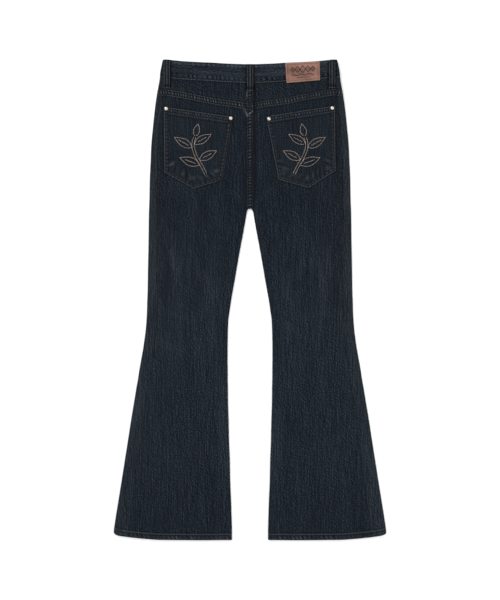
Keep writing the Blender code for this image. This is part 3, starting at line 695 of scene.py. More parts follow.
# ------------------------------------------------------------------ back panels
def back_panel(side):
    s = -1.0 if side == "left" else 1.0
    seed = 3 if side == "left" else 8
    y0 = spaced((-517.7, -500.0, 1.1), (-500.0, 188.0, 2.5), (188.0, 202.0, 0.9), (202.0, 400.0, 1.9), (400.0, 436.0, 1.5))
    nominal = spaced((0.0, 4.0, 0.8), (4.0, 14.0, 1.6), (14.0, 186.0, 1.75), (186.0, 200.0, 1.2)) / 200.0
    turn = np.radians([15, 32, 50, 68, 90])
    top = lambda x: yoke_y(s * x) + 6.0  # noqa: E731
    y0, u = y0[:, None], nominal[None, :]
    y = y0 + 0 * u
    for _ in range(5):
        r = 0.5 * (high(y) - low(y))
        a, b = side_seam(y), inner(y) + r
        x = a + (b - a) * u
        y = follow_rows(y0, x, top)
    x, y = x + 0 * y, y + 0 * x
    z = top_z(s * x, y)
    nx, nz = np.zeros_like(x), np.ones_like(x)
    ye = y[:, -1:]
    re = 0.5 * (high(ye) - low(ye))
    keep = 1.0 - smooth((ye - CROTCH_Y - 0.3) / 1.6)
    xt = inner(ye) + re * (1.0 - np.sin(turn))
    zt = z[:, -1:] - keep * re * (1.0 - np.cos(turn))
    x = np.concatenate([x, xt], 1)
    z = np.concatenate([z, zt], 1)
    y = np.concatenate([y, np.repeat(ye, len(turn), 1)], 1)
    nx = np.concatenate([nx, -np.sin(turn) * keep], 1)
    nz = np.concatenate([nz, np.sqrt(1.0 - (np.sin(turn) * keep) ** 2)], 1)
    # side seam: a pressed line with the allowances under this panel
    d = side_seam(y) - x
    down = bell(d / 0.8)
    z = z - 0.5 * down + 0.42 * smooth(d / 2.0) * (1.0 - smooth((d - 8.5) / 3.0))
    ripple = waves(y, 11.0, seed) * bell((d - 4.0) / 4.5)
    z = z + 0.10 * ripple
    hz, hw, hs = hem_ripples(s * x, y, seed)
    z = z + hz * nz
    wear = hw + 0.03 * np.clip(ripple, 0, 1)
    shade = hs + 0.28 * down
    # where the yoke and the centre seam cover it, with painted shade under the yoke's edge, beside the centre seam, at
    # the crotch point, round the pockets, in the folds and in crease troughs
    cd = np.abs(x)
    yd = yoke_y(s * x) - y
    wear = wear + 0.035 * np.clip(crease(s * x, y) / 0.5, 0, 1) + nicks(s * x, y)
    shade = shade + round_pockets(s * x, y) + painted_fold_shade(s * x, y)
    shade = shade + 0.12 * np.clip(-crease(s * x, y) / 0.5, 0, 1) + 0.35 * bell((yd - 2.6) / 2.0) * (yd > 0)
    shade = shade + (0.62 * bell((cd - 9.6) / 3.4) if s > 0 else 0.36 * bell((cd - 9.6) / 3.0)) * (y > 200.0)
    shade = shade + 0.45 * bell((y - CROTCH_Y - 8.0) / 3.0) * bell((s * x + 3.0) / 2.4)
    # broad tone across the leg, palest at the knee
    width = np.maximum(outer(y) - inner(y), 1.0)
    place = (outer(y) - x) / width
    leg = smooth((150.0 - y) / 90.0)
    tone = 0.12 * bell((y + 60.0) / 125.0) - 0.30 * smooth((y - 120.0) / 110.0) - 0.22 * smooth((-320.0 - y) / 110.0)
    tone = tone + 0.20 * bell((place - 0.33) / 0.085) * leg * smooth((y + 40.0) / 120.0) + 0.10 * bell((place - 0.44) / 0.07) * bell((y - 10.0) / 90.0)
    tone = tone - 0.20 * bell((place - 0.21) / 0.05) * bell((y - 20.0) / 80.0) - 0.12 * bell((place - 0.60) / 0.09) * leg
    tone = tone + 0.34 * bell((place - 1.0) / 0.12) * smooth((-110.0 - y) / 80.0) * smooth((y + 440.0) / 90.0)
    tone = tone + 0.14 * bell(place / 0.12) * smooth((-120.0 - y) / 90.0) - 0.35 * bell(place / 0.14) * smooth((y - 20.0) / 60.0)
    tone = tone + (0.55 if s < 0 else 0.2) * bell((y - 246.0) / 26.0) * bell((x - 150.0) / 44.0)
    mark = streaks(x, y)
    z = z + 0.25 * mark * nz
    tone = tone + 0.95 * mark - 0.12 * smooth((y - 10.0) / 60.0) + 0.3 * smooth((place - 0.84) / 0.08) * smooth((-180.0 - y) / 80.0)
    tone = tone + 0.28 * bell((place - 0.82) / 0.07) * bell((y + 60.0) / 50.0) + 0.2 * N_B(x / 26.0 + 9.0 * (s > 0) * (y > 60.0), y / 90.0)
    values = {"wear": wear, "shade": shade, "tone": tone, "brown": 0.42 * bell(place / 0.2) * smooth((y + 60.0) / 90.0) + 0.35 * bell((y - hem_y(s * x) - 7.6) / 2.2) * np.clip(0.7 + 0.6 * N_C(x / 7.0, 31.0 + seed), 0, 1.2)}
    p = np.stack([s * x, y, z], -1)
    normal = np.stack([s * nx, 0 * nx, nz], -1)
    p, values = folded_ends(p, normal, values, 0.5 * HEM_FOLD, (13.0, 8.0, 3.0), hem_y(x[0]))
    node = "back_" + side
    o = grid("denim_" + node, p, DENIM_BACK, (node,), flip=s > 0, values=values)
    return o


def yoke(side):
    s = -1.0 if side == "left" else 1.0
    seed = 13 if side == "left" else 18
    d0 = spaced((0.6, 16.0, 1.0), (16.0, 30.0, 1.6), (30.0, 74.0, 3.2))[:, None]
    u = spaced((0.0, 5.0, 0.9), (5.0, 190.0, 1.15))[None, :] / 190.0
    x = 187.0 * (1 - u) + 0 * d0
    for _ in range(4):
        share = d0 / 74.0
        y = yoke_y(s * x) + d0 + share * (band_low(x, False) + 4.0 - yoke_y(s * x) - 74.0)
        x = side_seam(y) * (1 - u)
    z, wear, shade = yoke_face(s * x, y, seed)
    d = side_seam(y) - x
    down = bell(d / 0.8)
    z = z - 0.5 * down
    under = band_low(x, False) - y
    cd = np.abs(x)
    shade = shade + (0.62 * bell((cd - 9.6) / 3.4) if s > 0 else 0.36 * bell((cd - 9.6) / 3.0))
    wear = wear + nicks(s * x, y)
    # painted shade along the side seam, under the waistband's low edge and beside the loops
    shade = shade + 0.3 * down + 0.42 * bell((under - 0.5) / 2.6) * (under > -1.0) + beside_loops(s * x, y)
    lap = y - yoke_y(s * x)
    tone = 0.3 * N_B(s * x / 50.0, y / 40.0) + (0.5 if s < 0 else 0.25) * bell((lap - 17.5) / 3.5)
    p = np.stack([s * x, y, z], -1)
    rows = []
    for a in (178, 140, 105, 75, 45, 20):
        t = math.radians(a)
        q = p[0].copy()
        q[:, 2] -= 0.62 * (1 - math.cos(t))
        q[:, 1] += 0.0 - 0.6 * math.sin(t)
        rows.append(q)
    p = np.concatenate([np.array(rows), p])
    values = {"wear": wear, "shade": shade, "tone": tone, "brown": 0 * tone}
    values = {k: np.concatenate([np.repeat(v[:1], len(rows), 0), v]) for k, v in values.items()}
    return grid("denim_yoke_" + side, p, DENIM_YOKE, ("yoke_" + side,), flip=s > 0, values=values)


YOKE_ROWS = (2.7, 9.3)


def yoke_face(x, y, seed=None):
    d = y - yoke_y(x)
    if seed is None:
        seed = 13
    z, wear, shade = felled(d, x, YOKE_ROWS, 0.5, 11.4, 0.95, 6.0, 0.30, seed, slant=0.25, strength=0.50, rims=(0.36, 0.15 + 0.11 * (1.0 - smooth((x + 20.0) / 40.0))))
    shade = shade * smooth((d + 0.6) / 0.4 + 1.0)
    return top_z(x, y) + 0.2 + z, wear, shade


def cover(x, y):
    """Height of what lies uppermost of back panel and yoke, ripples left out."""
    d = y - yoke_y(x)
    lift = 0.2 + 0.95 * (1.0 - smooth((d - 12.6) / 4.0))
    return top_z(x, y) + np.where(d > 0, lift, 0.0) * smooth(d / 1.5 + 0.2)


# ------------------------------------------------------------------ waistband lines
def band_top(x, front):
    x = np.minimum(np.abs(x), 188.0)
    if front:
        return 518.5 - FRONT_DIP * (1.0 - (x / 188.0) ** 2)
    return waist_curve(x) + 0.55


def band_low(x, front):
    x = np.minimum(np.abs(x), 188.0)
    t = (x / 188.0) ** 2
    middle = BAND_FRONT_HEIGHT if front else BAND_BACK_HEIGHT + 1.0
    return band_top(x, front) - (middle + (BAND_SIDE_HEIGHT - middle) * t)


def scoop(x):
    start = band_low(SCOOP_START, True) - 0.3
    t = np.clip((np.abs(x) - SCOOP_START) / (190.0 - SCOOP_START), 0, 1)
    return start + (SCOOP_END_Y - start) * t - SCOOP_DIP * np.sin(math.pi * t**0.7)


# ------------------------------------------------------------------ front panels
FLY_HALF, FLY_END = 34.0, 366.0


def front_rows(side):
    """Face points of a front panel: inseam edge, underside, outer turn, then the strip that shows on the back."""
    s = -1.0 if side == "left" else 1.0
    y0 = spaced((-517.7, -500.0, 1.3), (-500.0, 188.0, 3.4), (188.0, 202.0, 1.2), (202.0, 420.0, 3.0), (420.0, 458.0, 1.8))
    flat = spaced((0.0, 8.0, 2.0), (8.0, 170.0, 3.6), (170.0, 200.0, 2.4)) / 200.0
    turn_in = np.radians([90, 66, 44, 22])
    turn_out = np.radians([15, 32, 50, 70, 90, 110, 130, 148, 165, 180])
    back = spaced((0.0, 1.0, 0.14))[1:]
    top = lambda x: np.where(np.abs(x) < SCOOP_START, band_low(x, True) + 3.0, scoop(x))  # noqa: E731

    def settle(x_of, n):
        y = y0[:, None] + np.zeros((1, n))
        for _ in range(6):
            x = x_of(y)
            y = follow_rows(y0[:, None], x, top, 458.0)
        return x + 0 * y, y

    def half(y):
        return 0.5 * (high(y) - low(y))

    ff = flat[None, :]
    xa, ya = settle(lambda y: inner(y) + half(y) + (outer(y) - half(y) * 2 - inner(y)) * ff, len(flat))
    za = low(ya) + LIFT
    ye = ya[:, :1]
    re = half(ye)
    keep = 1.0 - smooth((ye - CROTCH_Y - 0.3) / 1.6)
    xi = inner(ye) + re * (1 - np.sin(turn_in))
    zi = low(ye) + LIFT + keep * (re - LIFT) * (1 - np.cos(turn_in))
    yi = np.repeat(ye, len(turn_in), 1)
    yo0 = ya[:, -1:]
    for _ in range(3):
        yo0 = follow_rows(y0[:, None], outer(yo0), top, 458.0)
    yo = np.repeat(yo0, len(turn_out), 1)
    ro = half(yo)
    xo = outer(yo) - ro + ro * np.sin(turn_out)
    zo = low(yo) + ro - (ro - LIFT * (1 + np.cos(turn_out)) / 2) * np.cos(turn_out)
    xb, yb = settle(lambda y: outer(y) - half(y) + (side_seam(y) - outer(y) + half(y)) * back[None, :], len(back))
    zb = high(yb) + 0 * xb
    x, y, z = (np.concatenate(v, 1) for v in ((xi, xa, xo, xb), (yi, ya, yo, yb), (zi, za, zo, zb)))
    n0 = np.concatenate([-np.sin(turn_in)[None] * keep, 0 * xa, np.sin(turn_out)[None] + 0 * yo0, 0 * xb], 1)
    n2 = np.concatenate([-np.sqrt(1 - (np.sin(turn_in)[None] * keep) ** 2), 0 * xa - 1, -np.cos(turn_out)[None] + 0 * yo0, 0 * xb + 1], 1)
    return s, x, y, z, n0, n2, len(turn_in), len(turn_in) + len(flat), len(turn_in) + len(flat) + len(turn_out)


def front_panel(side):
    seed = 5 if side == "left" else 10
    s, x, y, z, n0, n2, a, b, c = front_rows(side)
    upper = (np.arange(x.shape[1]) >= b + 4)[None, :] & (x > 0)
    d = np.where(upper & (np.arange(x.shape[1]) >= c - 1)[None, :], x - side_seam(y), 99.0)
    down = bell(d / 0.8)
    z = z - 0.5 * down
    hz, hw, hs = hem_ripples(s * x, y, seed)
    sign = np.where(n2 >= 0, 1.0, -1.0)
    z = z + hz * np.abs(n2) * np.where(sign > 0, 1.0, -0.25)
    wear, shade = hw, hs + 0.28 * down
    # double row along the pocket mouth, all the way round the side
    dm = np.where(np.abs(x) > SCOOP_START - 1, scoop(x) - y, 99.0)
    mz, mw, ms = felled(dm, x, (2.4, 8.6), 0.6, 10.6, 0.35, 6.4, 0.22, seed + 30, strength=0.4)
    near = (dm < 24.0) * smooth((24 - dm) / 8.0)
    z = z + mz * near * np.where(n2 >= 0, 1.0, -0.3) * np.abs(n2)
    wear, shade = wear + mw * near, shade + ms * near
    # fly: the double J row and the centre front seam
    if side == "left":
        j, _ = fly_line_distance(s * x, y)
        groove = np.where(n2 < 0, bell((j - 0.0) / 0.9) + bell((j - 6.0) / 0.9), 0.0)
        shade = shade + 0.5 * groove
    edge = np.where(y > CROTCH_Y + 3, bell(x / 1.6), 0.0) * (n2 < 0)
    shade = shade + 0.7 * edge
    z = z + 0.35 * edge
    place = (outer(y) - x) / 40.0
    tone = 0.35 * N_B(s * x / 40.0, y / 110.0 + 40) + 0.33 * bell((y + 60.0) / 130.0) + upper * 0.58 * smooth((y + 20.0) / 60.0) - 0.45 * smooth((y - 40.0) / 110.0) + upper * 0.36 * smooth((-120.0 - y) / 90.0)
    wear = wear + upper * 0.015 * bell((outer(y) - x - 6.0) / 6.0)
    brown = 0.2 * upper * (0.6 + 0.4 * N_A(s * x / 30.0, y / 90.0)) * smooth((y + 60.0) / 90.0) - 0.2 * smooth((-y - 60.0) / 90.0)
    p = np.stack([s * x, y, z], -1)
    normal = np.stack([s * n0, 0 * n0, n2], -1)
    values = {"wear": wear, "shade": shade, "tone": tone, "brown": brown}
    p, values = folded_ends(p, normal, values, 0.5 * HEM_FOLD, (13.0, 8.0, 3.0), hem_y(x[0]))
    # the pocket mouth's fold
    first = p[-1]
    rows = []
    nn = normal[-1]
    for t in (0.5, 1.1):
        q = first - nn * t
        q[:, 1] = first[:, 1] + (0.45 if t < 1 else -0.6)
        rows.append(q)
    p = np.concatenate([p, np.array(rows)])
    values = {k: np.concatenate([v, np.repeat(v[-1:], 2, 0)]) for k, v in values.items()}
    node = "front_" + side
    return grid("denim_" + node, p, DENIM_FRONT, (node,), flip=s > 0, values=values)


FLY = [(-40.0, 462.0), (-40.0, 396.0), (-36.5, 380.0), (-27.0, 367.0), (-13.0, 360.0), (0.0, 357.5)]


def fly_line_distance(x, y):
    return to_segments(x, y, FLY, closed=False)


def facing(side):
    """Pocket facing: between the pocket mouth and the waistband, and round the side to the side seam."""
    s = -1.0 if side == "left" else 1.0
    t = np.linspace(0, 1, 24)[:, None]
    flat_x = spaced((70.0, 186.0, 3.0))[None, :]
    xa = flat_x + 0 * t
    top_a = band_low(xa, True) + 3.0
    ya = (scoop(xa) - 12.0) + t * (top_a - scoop(xa) + 12.0)
    r = 0.5 * (high(ya) - low(ya))
    xa = 70.0 + (outer(ya) - r - 70.0) * (flat_x - 70.0) / 116.0
    za = low(ya) + LIFT + 1.5
    turn = np.radians([15, 35, 60, 90, 115, 140, 160, 180])[None, :]
    low_e, high_e = SCOOP_END_Y - 12.0, band_low(188.0, False) + 3.0
    yo = low_e + t * (high_e - low_e) + 0 * turn
    ro = 0.5 * (high(yo) - low(yo))
    share = smooth(turn / math.radians(140))
    under = np.where(yo < SCOOP_END_Y + 0.6, 1.4, 1.4 * (1 - share) * 0.8)
    q = ro - under
    xo = outer(yo) - ro + q * np.sin(turn)
    zo = low(yo) + ro - q * np.cos(turn)
    back = np.linspace(0, 1, 8)[1:][None, :]
    yb = low_e + t * (high_e - low_e) + 0 * back
    xb = outer(yb) - 0.5 * (high(yb) - low(yb)) + (side_seam(yb) - outer(yb) + 0.5 * (high(yb) - low(yb))) * back
    zb = high(yb) - np.where(yb < SCOOP_END_Y + 0.6, 1.4, 0.0)
    x, y, z = (np.concatenate(v, 1) for v in ((xa, xo, xb), (ya, yo, yb), (za, zo, zb)))
    d = np.where(z > 5.0, x - side_seam(y), 99.0)
    z = z - 0.5 * bell(d / 0.8)
    shade = 0.3 * bell(d / 0.8) + 0.5 * bell((y - scoop(x) - 1.0) / 2.0) + 0.3 * bell((band_low(x, False) - y) / 2.4)
    tone = 0.3 * N_B(x / 40.0, y / 40.0) - 0.75
    values = {"wear": 0.03 + 0 * x, "shade": shade, "tone": tone, "brown": 0.15 + 0 * x}
    return grid("denim_pocket_facing_" + side, np.stack([s * x, y, z], -1), DENIM_FRONT, ("pocket_facing_" + side,), flip=s > 0, values=values)


# ------------------------------------------------------------------ waistband
def band_path():
    """Stations round the waist: x, turn angle, normal (two parts), front share, and lift of the lapping end. One end
    laps over the other in front.
    """
    r = 0.5 * (BAND_TOP_Z - BAND_BOTTOM_Z)
    out = []
    for x in spaced((18.0, -183.0, 2.0)):
        out.append((x, 0.0, 0.0, -1.0, 1.0, 0.0))
    for a in np.radians(np.arange(10, 180, 12)):
        out.append((-1.0, a, -math.sin(a), -math.cos(a), 1.0 - smooth((a - 1.1) / 0.95), 0.0))
    for x in spaced((-183.0, 183.0, 1.55)):
        out.append((x, math.pi, 0.0, 1.0, 0.0, 0.0))
    for a in np.radians(np.arange(178, 4, -12)):
        out.append((1.0, a, math.sin(a), -math.cos(a), 1.0 - smooth((a - 1.1) / 0.95), 0.0))
    for x in spaced((183.0, 36.0, 2.0)):
        out.append((x, 0.0, 0.0, -1.0, 1.0, 0.0))
    for x in spaced((34.0, 20.0, 2.0)):
        out.append((x, 0.0, 0.0, -1.0, 1.0, 2.7 * float(smooth((36.0 - x) / 15.0))))
    for x in spaced((18.0, -18.0, 3.0)):
        out.append((x, 0.0, 0.0, -1.0, 1.0, 2.7))
    return np.array(out, float), r


BAND_ROW_LOW, BAND_ROW_TOP = 3.2, 11.2


def band_face(x, y, front):
    """Ripples, wear and shade of the waistband at x, y."""
    dl, dt = y - band_low(x, front), band_top(x, front) - y
    wl, wt = waves(x + 0.2 * dl, 9.7, 21), waves(x - 0.25 * dt, 10.4, 27)
    profile = smooth((dl - 3.0) / 2.0) * (1 - smooth((dl - 8.5) / 4.5))
    upper = smooth(dt / 3.0) * (1 - smooth((dt - 7.5) / 2.5))
    z = 0.32 * wl * profile + 0.26 * wt * upper - 0.26 * bell((dl - BAND_ROW_LOW) / 0.8) - 0.24 * bell((dt - BAND_ROW_TOP) / 0.8)
    z = z + 0.3 * smooth(dl / 6.0) * smooth(dt / 6.0)
    dash = waves(x, 5.6, 33)
    up, down = np.clip(wl, 0, 1), np.clip(-wl, 0, 1)
    wear = 0.46 * bell((dl - 0.4) / 0.8) * np.clip(0.72 + 0.6 * dash, 0.1, 1.4) + 0.13 * up * profile + 0.15 * np.clip(wt, 0, 1) * upper * smooth((dt - 1.5) / 2.0)
    wear = wear + 0.07 * smooth((dt - 1.4) / 2.5) * (1 - smooth((dt - 6.5) / 2.5)) * (0.8 + 0.3 * N_D(x / 9.0, 8.0)) + 0.04 * bell((dl - 17.5) / 3.0)
    shade = 0.9 * bell((dl - BAND_ROW_LOW) / 0.95) + 1.15 * down**1.3 * profile + 0.3 * bell((dt - BAND_ROW_TOP + 0.2) / 1.1)
    shade = shade + 0.26 * bell((dl - 11.6) / 1.8) + 0.25 * np.clip(-wt, 0, 1) * upper
    return z, wear, shade


def waistband():
    path, r = band_path()
    h = spaced((0.0, 3.0, 0.6), (3.0, 12.0, 1.3), (12.0, 28.0, 2.2), (28.0, 36.0, 1.2), (36.0, 38.0, 0.6)) / 38.0
    k = 0.75
    loops = []
    for v in h:  # outer face, low edge to top edge
        loops.append((k + v * (1 - 0), v, 0.0))
    profile = [("out", v, 0.0) for v in h]
    profile += [("top", 1.0, a) for a in np.radians([35, 70, 110, 145])]
    profile += [("in", v, 0.0) for v in np.linspace(1, 0, 7)]
    profile += [("low", 0.0, a) for a in np.radians([35, 70, 110, 145])]
    xs, angle = path[:, 0], path[:, 1]
    side = (np.abs(path[:, 0]) == 1.0) & (angle > 0.0) & (angle < math.pi)
    turned_x = np.sign(path[:, 0])
    front = path[:, 4]
    px = np.where(side, turned_x * 188.0, xs)
    lo = band_low(px, True) * front + band_low(px, False) * (1 - front)
    hi = band_top(px, True) * front + band_top(px, False) * (1 - front)
    p = np.zeros((len(path), len(profile), 3))
    wear, shade = np.zeros(p.shape[:2]), np.zeros(p.shape[:2])
    half = 0.5 * BAND_WALL
    for j, (part, v, a) in enumerate(profile):
        y = lo + half * 0.6 + v * (hi - lo - half * 1.2)
        depth = np.zeros(len(path))
        if part == "top":
            y = hi - half * 0.6 + half * 0.6 * math.sin(a)
            depth = depth + half * (1 - math.cos(a))
        elif part == "low":
            y = lo + half * 0.6 - half * 0.6 * math.sin(a)
            depth = depth + half * (1 + math.cos(a))
        elif part == "in":
            depth = depth + BAND_WALL
        f = front > 0.5
        z1, w1, s1 = band_face(px, np.clip(y, lo, hi), True)
        z0, w0, s0 = band_face(px, np.clip(y, lo, hi), False)
        bump_z, w, sh = (np.where(f, q1, q0) for q1, q0 in ((z1, z0), (w1, w0), (s1, s0)))
        n0, n2 = path[:, 2], path[:, 3]
        amount = bump_z * (0.0 if part == "in" else 1.0) * np.where(f & ~side, 0.4, 1.0) - depth + np.where(f & ~side, -0.1, 0.0)
        cx = np.where(side, turned_x * (outer(y) - r), xs)
        ring = np.where(side, turned_x * r * np.sin(angle), 0.0)
        cz = np.where(side, BAND_BOTTOM_Z + r - r * np.cos(angle), np.where(angle > 3, BAND_TOP_Z, BAND_BOTTOM_Z + path[:, 5]))
        scale = np.where((angle > 3) | (angle < 0.01), (outer(y) - r) / 184.0, 1.0)
        cx = np.where(side, cx, xs * np.where(np.abs(xs) > 60, 1 + (scale - 1) * smooth((np.abs(xs) - 60) / 110.0), 1.0))
        p[:, j, 0] = cx + ring + n0 * amount
        p[:, j, 1] = y
        p[:, j, 2] = cz + n2 * amount
        wear[:, j] = w * (0.3 if part == "in" else 1.0)
        shade[:, j] = sh * (0.2 if part == "in" else 1.0) + np.where(~f | side, beside_loops(p[:, j, 0], y), 0.0) * (angle > 1.2)
    tone = 0.7 * N_B(p[:, :, 0] / 34.0, p[:, :, 1] / 14.0)
    o = grid("denim_waistband", p, DENIM_BAND, ("waistband",), flip=False, closed=True, values={"wear": wear, "shade": shade, "tone": tone, "brown": 0 * tone})
    close_ends(o, len(profile), len(path))
    return o


def close_ends(o, ring, count):
    """Caps the two open ends of a closed strip."""
    import bmesh

    bm = bmesh.new()
    bm.from_mesh(o.data)
    bm.verts.ensure_lookup_table()
    for start in (0, (count - 1) * ring):
        vs = [bm.verts[start + k] for k in range(ring)]
        bm.faces.new(vs)
    bmesh.ops.recalc_face_normals(bm, faces=bm.faces)
    bm.to_mesh(o.data)
    bm.free()


# ------------------------------------------------------------------ centre back seam
SEAM_RIGHT, SEAM_LEFT = 6.3, -6.7
SEAM_ROWS = (3.0, 9.9)  # from the folded right edge


def centre_seam():
    y = spaced((198.6, 205.0, 0.9), (205.0, 472.0, 1.35))[:, None]
    x = spaced((SEAM_RIGHT - 0.6, SEAM_LEFT, 0.72))[None, :]
    x, y = x + 0 * y, y + 0 * x
    d = SEAM_RIGHT - x
    z, wear, shade = felled(d, y, SEAM_ROWS, 0.9, 12.0, 1.0, 6.6, 0.34, 31, slant=0.3, strength=0.42, rims=(0.08, 0.07))
    wear = wear * (0.75 + 0.25 * smooth((y - 300.0) / 60.0)) * (1.0 - 0.6 * np.clip(2.0 * nicks(x, y), 0, 1)) + nicks(x, y)
    # painted shade of the folds beside the seam, lessened along the pale nicks
    shade = (shade + 0.6 * painted_fold_shade(x, y)) * (1.0 - 0.75 * np.clip(2.2 * nicks(x, y), 0, 1))
    # the yoke's seam runs on over it
    lap = y - yoke_y(x)
    over = 0.85 * smooth((lap + 1.2) / 1.6) * (1.0 - smooth((lap - 11.2) / 1.6))
    _, yoke_wear, yoke_shade = felled(lap, 1.2 * x, YOKE_ROWS, 0.5, 11.4, 0.95, 6.0, 0.30, 18, slant=0.25, strength=0.55, rims=(0.3, 0.16))
    wear, shade = wear + over * (yoke_wear - 0.8 * wear), shade + over * (yoke_shade - 0.6 * shade)
    base = cover(x, y)
    lift = 1.05
    left = smooth((x - SEAM_LEFT) / 1.6)
    z = base + lift * left + (z - 1.0) * left
    # both rims turn down
    p = np.stack([x, y, z], -1)
    right, cols = p[:, :1], []
    for t in (170, 130, 90, 50, 20):
        a = math.radians(t)
        q = right.copy()
        q[..., 0] = right[..., 0] + 0.6 * math.sin(a)
        q[..., 2] -= 0.6 * (1 - math.cos(a))
        cols.append(q)
    p = np.concatenate([*cols, p, p[:, -1:] + np.array([-0.3, 0, -0.5])], 1)
    wrapv = lambda v: np.concatenate([np.repeat(v[:, :1], 5, 1), v, v[:, -1:]], 1)  # noqa: E731
    wear, shade = wrapv(wear), wrapv(shade)
    # round the crotch edge
    first, rows = p[0], []
    for t in (150, 110, 80, 50, 25):
        a = math.radians(t)
        q = first.copy()
        q[:, 1] = first[:, 1] - 1.5 * math.sin(min(a, math.pi / 2))
        q[:, 2] -= 1.9 * (1 - math.cos(a))
        rows.append(q)
    p = np.concatenate([np.array(rows), p])
    n = len(rows)
    wear = np.concatenate([np.repeat(wear[:1] * 0.4, n, 0), wear])
    shade = np.concatenate([np.repeat(shade[:1] + 0.2, n, 0), shade])
    tone = 0.3 * N_B(p[..., 0] / 20.0, p[..., 1] / 40.0) - 0.45
    return grid("denim_centre_seam", p, DENIM_BACK, (), flip=False, values={"wear": wear, "shade": shade, "tone": tone, "brown": 0 * tone})


# ------------------------------------------------------------------ back pockets
def pocket_at(side, u, v):
    st, ct, cl, tip, sl = POCKETS[side]
    w = np.clip(u / 0.5, 0, 1), np.clip((u - 0.5) / 0.5, 0, 1)
    low_half = u <= 0.5
    out = []
    for k in (0, 1):
        top = st[k] + (ct[k] - st[k]) * u
        foot = np.where(low_half, sl[k] + (tip[k] - sl[k]) * w[0], tip[k] + (cl[k] - tip[k]) * w[1])
        out.append(top + (foot - top) * v)
    return out


def pocket_edges(side, x, y):
    """Distance in from the mouth and from the other edges, and the place along each."""
    st, ct, cl, tip, sl = POCKETS[side]
    mouth, along_mouth = to_segments(x, y, [st, ct], closed=False)
    rest, along = to_segments(x, y, [st, sl, tip, cl, ct], closed=False)
    return mouth, along_mouth, rest, along


POCKET_ROWS, MOUTH_ROWS = (2.5, 7.7), (3.0, 9.3)
PUFFS = {  # x, y, strength and half width of the pale rumples at the pockets' feet
    "left": [(-169.0, 291.0, 0.22, 6.5), (-123.0, 263.0, 0.19, 7.0), (-71.0, 278.0, 0.18, 6.0), (-147.0, 272.0, 0.12, 5.0), (-96.0, 268.0, 0.11, 5.0)],
    "right": [(70.0, 277.0, 0.20, 6.5), (127.0, 262.0, 0.16, 7.0), (171.0, 283.0, 0.19, 6.5), (98.0, 268.0, 0.11, 5.0), (66.0, 300.0, 0.10, 6.0)],
}


def pocket_face(side, x, y, seed):
    mouth, am, rest, along = pocket_edges(side, x, y)
    wm = waves(am + 0.3 * mouth, 5.6, seed)
    wr = waves(along + 0.2 * rest, 8.4, seed + 4)
    mid_m = np.clip((mouth - MOUTH_ROWS[0]) / (MOUTH_ROWS[1] - MOUTH_ROWS[0]), 0, 1)
    mid_r = np.clip((rest - POCKET_ROWS[0]) / (POCKET_ROWS[1] - POCKET_ROWS[0]), 0, 1)
    in_m, in_r = np.sin(math.pi * mid_m) ** 0.6, np.sin(math.pi * mid_r) ** 0.7
    clear = smooth((rest - 1.5) / 3.0)
    body = smooth((mouth - 9.0) / 4.0)
    dash_m, dash_r = waves(am, 5.1, seed + 9), waves(along, 5.3, seed + 11)
    z = 0.45 * (1 - smooth((mouth - 12.6) / 1.8)) + 0.30 * (1 - smooth((rest - 9.0) / 3.0)) * body
    z = z + 0.30 * wm * in_m * clear + 0.17 * wr * in_r * body
    below = bell((mouth - 14.4) / 2.4) * (mouth > MOUTH_ROWS[1])
    inward = bell((rest - 10.0) / 2.6) * (rest > POCKET_ROWS[1]) * body
    z = z + 0.14 * wm * below + 0.16 * wr * inward
    gm = sum(bell((mouth - r) / 0.95) for r in MOUTH_ROWS) * clear
    gr = sum(bell((rest - r) / 0.95) for r in POCKET_ROWS)
    z = z - 0.26 * gm - 0.22 * gr
    puff = smooth(rest / 26.0) * smooth(mouth / 26.0)
    z = z + 0.55 * puff + 0.25 * puff * N_A(x / 24.0, y / 30.0)
    # short soft wrinkles standing in from the pocket's foot
    foot = bell((rest - 17.0) / 7.0) * smooth((mouth - 100.0) / 14.0)
    rumple = waves(along + 0.5 * rest, 15.0, seed + 15)
    z = z + 0.38 * rumple * foot
    wear = 0.42 * np.clip(wm, 0, 1) * in_m * clear + 0.38 * bell((mouth - 0.9) / 0.9) * np.clip(0.7 + 0.7 * dash_m, 0.1, 1.4)
    plain = 1.0 - 0.7 * (smooth((x + 75.0) / 12.0) if side == "left" else 0.0)  # the left pocket's inner edge is the darkest
    wear = wear + 0.11 * in_r * (0.6 + 1.0 * wr) * body + 0.2 * (1.0 - plain) * in_r * np.clip(wr, 0, 1) * body
    wear = wear + 0.50 * plain * bell((rest - 0.5) / 0.85) * np.clip(0.66 + 0.8 * dash_r, 0.12, 1.4)
    wear = wear + 0.24 * bell((mouth - 12.2) / 0.85) * np.clip(0.66 + 0.75 * dash_m, 0, 1.4) * clear + 0.04 * np.clip(wr, 0, 1) * inward
    wear = wear + 0.12 * np.clip(rumple, 0, 1) * foot
    shade = 0.0 * x
    for px, py, size, half in PUFFS[side]:
        q = ((x - px) / half) ** 2 + ((y - py) / (0.8 * half)) ** 2
        mark = np.exp(-q) * np.clip(0.7 + 0.6 * N_C(x / 4.2, y / 5.0), 0.1, 1.3)
        wear, z = wear + 0.72 * size * mark, z + 0.35 * np.exp(-q)
        ring = bell((np.sqrt(q) - 1.25) / 0.22)
        shade = shade + 0.34 * ring * np.clip(0.5 + N_D(x / 5.0, y / 5.0), 0, 1)
    shade = shade + 1.0 * gm + 0.95 * gr + 0.9 * np.clip(-wm, 0, 1) * in_m * clear + 0.25 * np.clip(-wr, 0, 1) * in_r
    shade = shade + 0.5 * bell((mouth - 16.0) / 1.8) * clear + 0.16 * bell((rest - 12.4) / 2.0) * body + 0.5 * np.clip(-rumple, 0, 1) * foot
    return z, wear, shade


POCKET_UP = 1.35


def pocket_z(side, x, y, seed):
    z, wear, shade = pocket_face(side, x, y, seed)
    return top_z(x, y) + POCKET_UP + z, wear, shade


